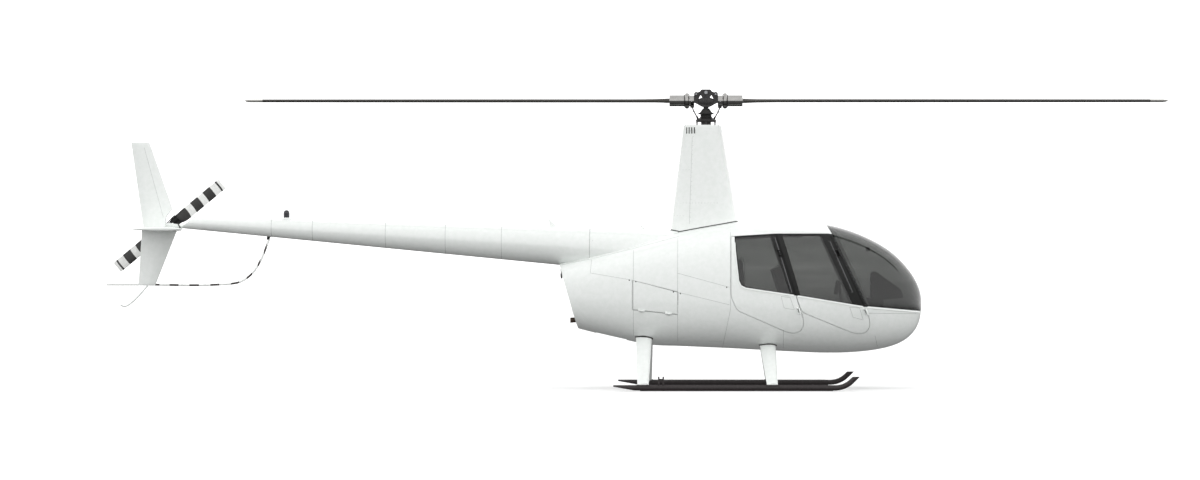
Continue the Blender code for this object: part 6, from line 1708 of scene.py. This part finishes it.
# %% Camera and studio
GROUND_LIGHT, HORIZON_LIGHT, ZENITH_LIGHT = 0.24, 1.62, 1.15
camera = bpy.data.objects.new("camera", bpy.data.cameras.new("camera"))
bpy.context.scene.collection.objects.link(camera)
camera.location = (MAST_X + 0.196, -48, 1.462)
camera.rotation_euler = (math.radians(90), 0, 0)
camera.data.lens = 131.97
camera.data.sensor_width = 36
camera.data.shift_x = -0.1033
camera.data.shift_y = 0.0117
camera.data.clip_end = 400
bpy.context.scene.camera = camera
bpy.context.scene.view_settings.view_transform = "Standard"

world = bpy.data.worlds.new("studio")
world.use_nodes = True
bpy.context.scene.world = world
direction_of_ray = add(world.node_tree, "TexCoord").outputs["Generated"]
height_of_ray = add(world.node_tree, "SeparateXYZ", inputs={"Vector": direction_of_ray}).outputs["Z"]
sky = add(world.node_tree, "MapRange", inputs={"Value": height_of_ray, "From Min": -0.06, "From Max": -0.01,
                                               "To Min": GROUND_LIGHT, "To Max": HORIZON_LIGHT}).outputs["Result"]
dimmer = add(world.node_tree, "MapRange", inputs={"Value": height_of_ray, "To Min": 1.0,
                                                  "To Max": ZENITH_LIGHT / HORIZON_LIGHT}).outputs["Result"]
sky = add(world.node_tree, "Math", {"operation": "MULTIPLY"}, {0: sky, 1: dimmer}).outputs[0]
world.node_tree.links.new(sky, world.node_tree.nodes["Background"].inputs["Strength"])
world.node_tree.nodes["Background"].inputs["Color"].default_value = (1, 1, 1, 1)

span = np.linspace(-70, 70, 9)
ground = np.stack(np.meshgrid(span, span, indexing="ij") + [np.zeros((9, 9)) - 0.001], axis=-1)
floor = mesh_object("studio_floor", grid_shape(ground, loop=False))
floor.data.materials.append(finish("studio_paper", "F8F8F8", "F6F6F6", 0.01, (0.8, 0.9), 0.0))
floor.visible_diffuse = False
floor.visible_glossy = False

lamp = bpy.data.objects.new("overhead_softbox", bpy.data.lights.new("overhead_softbox", "AREA"))
bpy.context.scene.collection.objects.link(lamp)
lamp.data.shape, lamp.data.size, lamp.data.size_y = "RECTANGLE", 16, 8
lamp.data.energy = 25
lamp.location = (0, -1, 9)

# %% [markdown]
# ## Finish
# Every CAD solid that stays takes the finish of its slot.

# %% Dress the rest, and hand over
FINISH_OF_SLOT = {
    "white_paint": ENAMEL, "black_paint": SATIN_BLACK, "tinted_acrylic": SMOKED_ACRYLIC_PAINTED_SHADE, "dark_steel": POWDER,
    "grey_alloy": CAST, "gear_paint": ENAMEL, "blade_paint": BLADE_PAINT, "tail_blade_paint": SATIN_BLACK,
    "seat_leather": LEATHER, "cabin_trim": TRIM, "lamp_cover": LENS,
}
FINISH_OF_NODE = {"cabin_floor": CARPET, "rear_screen": WIRE_CLOTH, "main_gearbox": ENGINE_GREY}
slot_of = {part["node"]: part["material_slot"] for part in frame["record"]["subparts"]}
kept = [name for name, node in frame["nodes"].items() if not node.hide_render]
for name in kept:
    node = frame["nodes"][name]
    node.data.materials.clear()
    node.data.materials.append(FINISH_OF_NODE.get(name, FINISH_OF_SLOT[slot_of[name]]))
print("CAD solids that stay:", ", ".join(sorted(kept)))
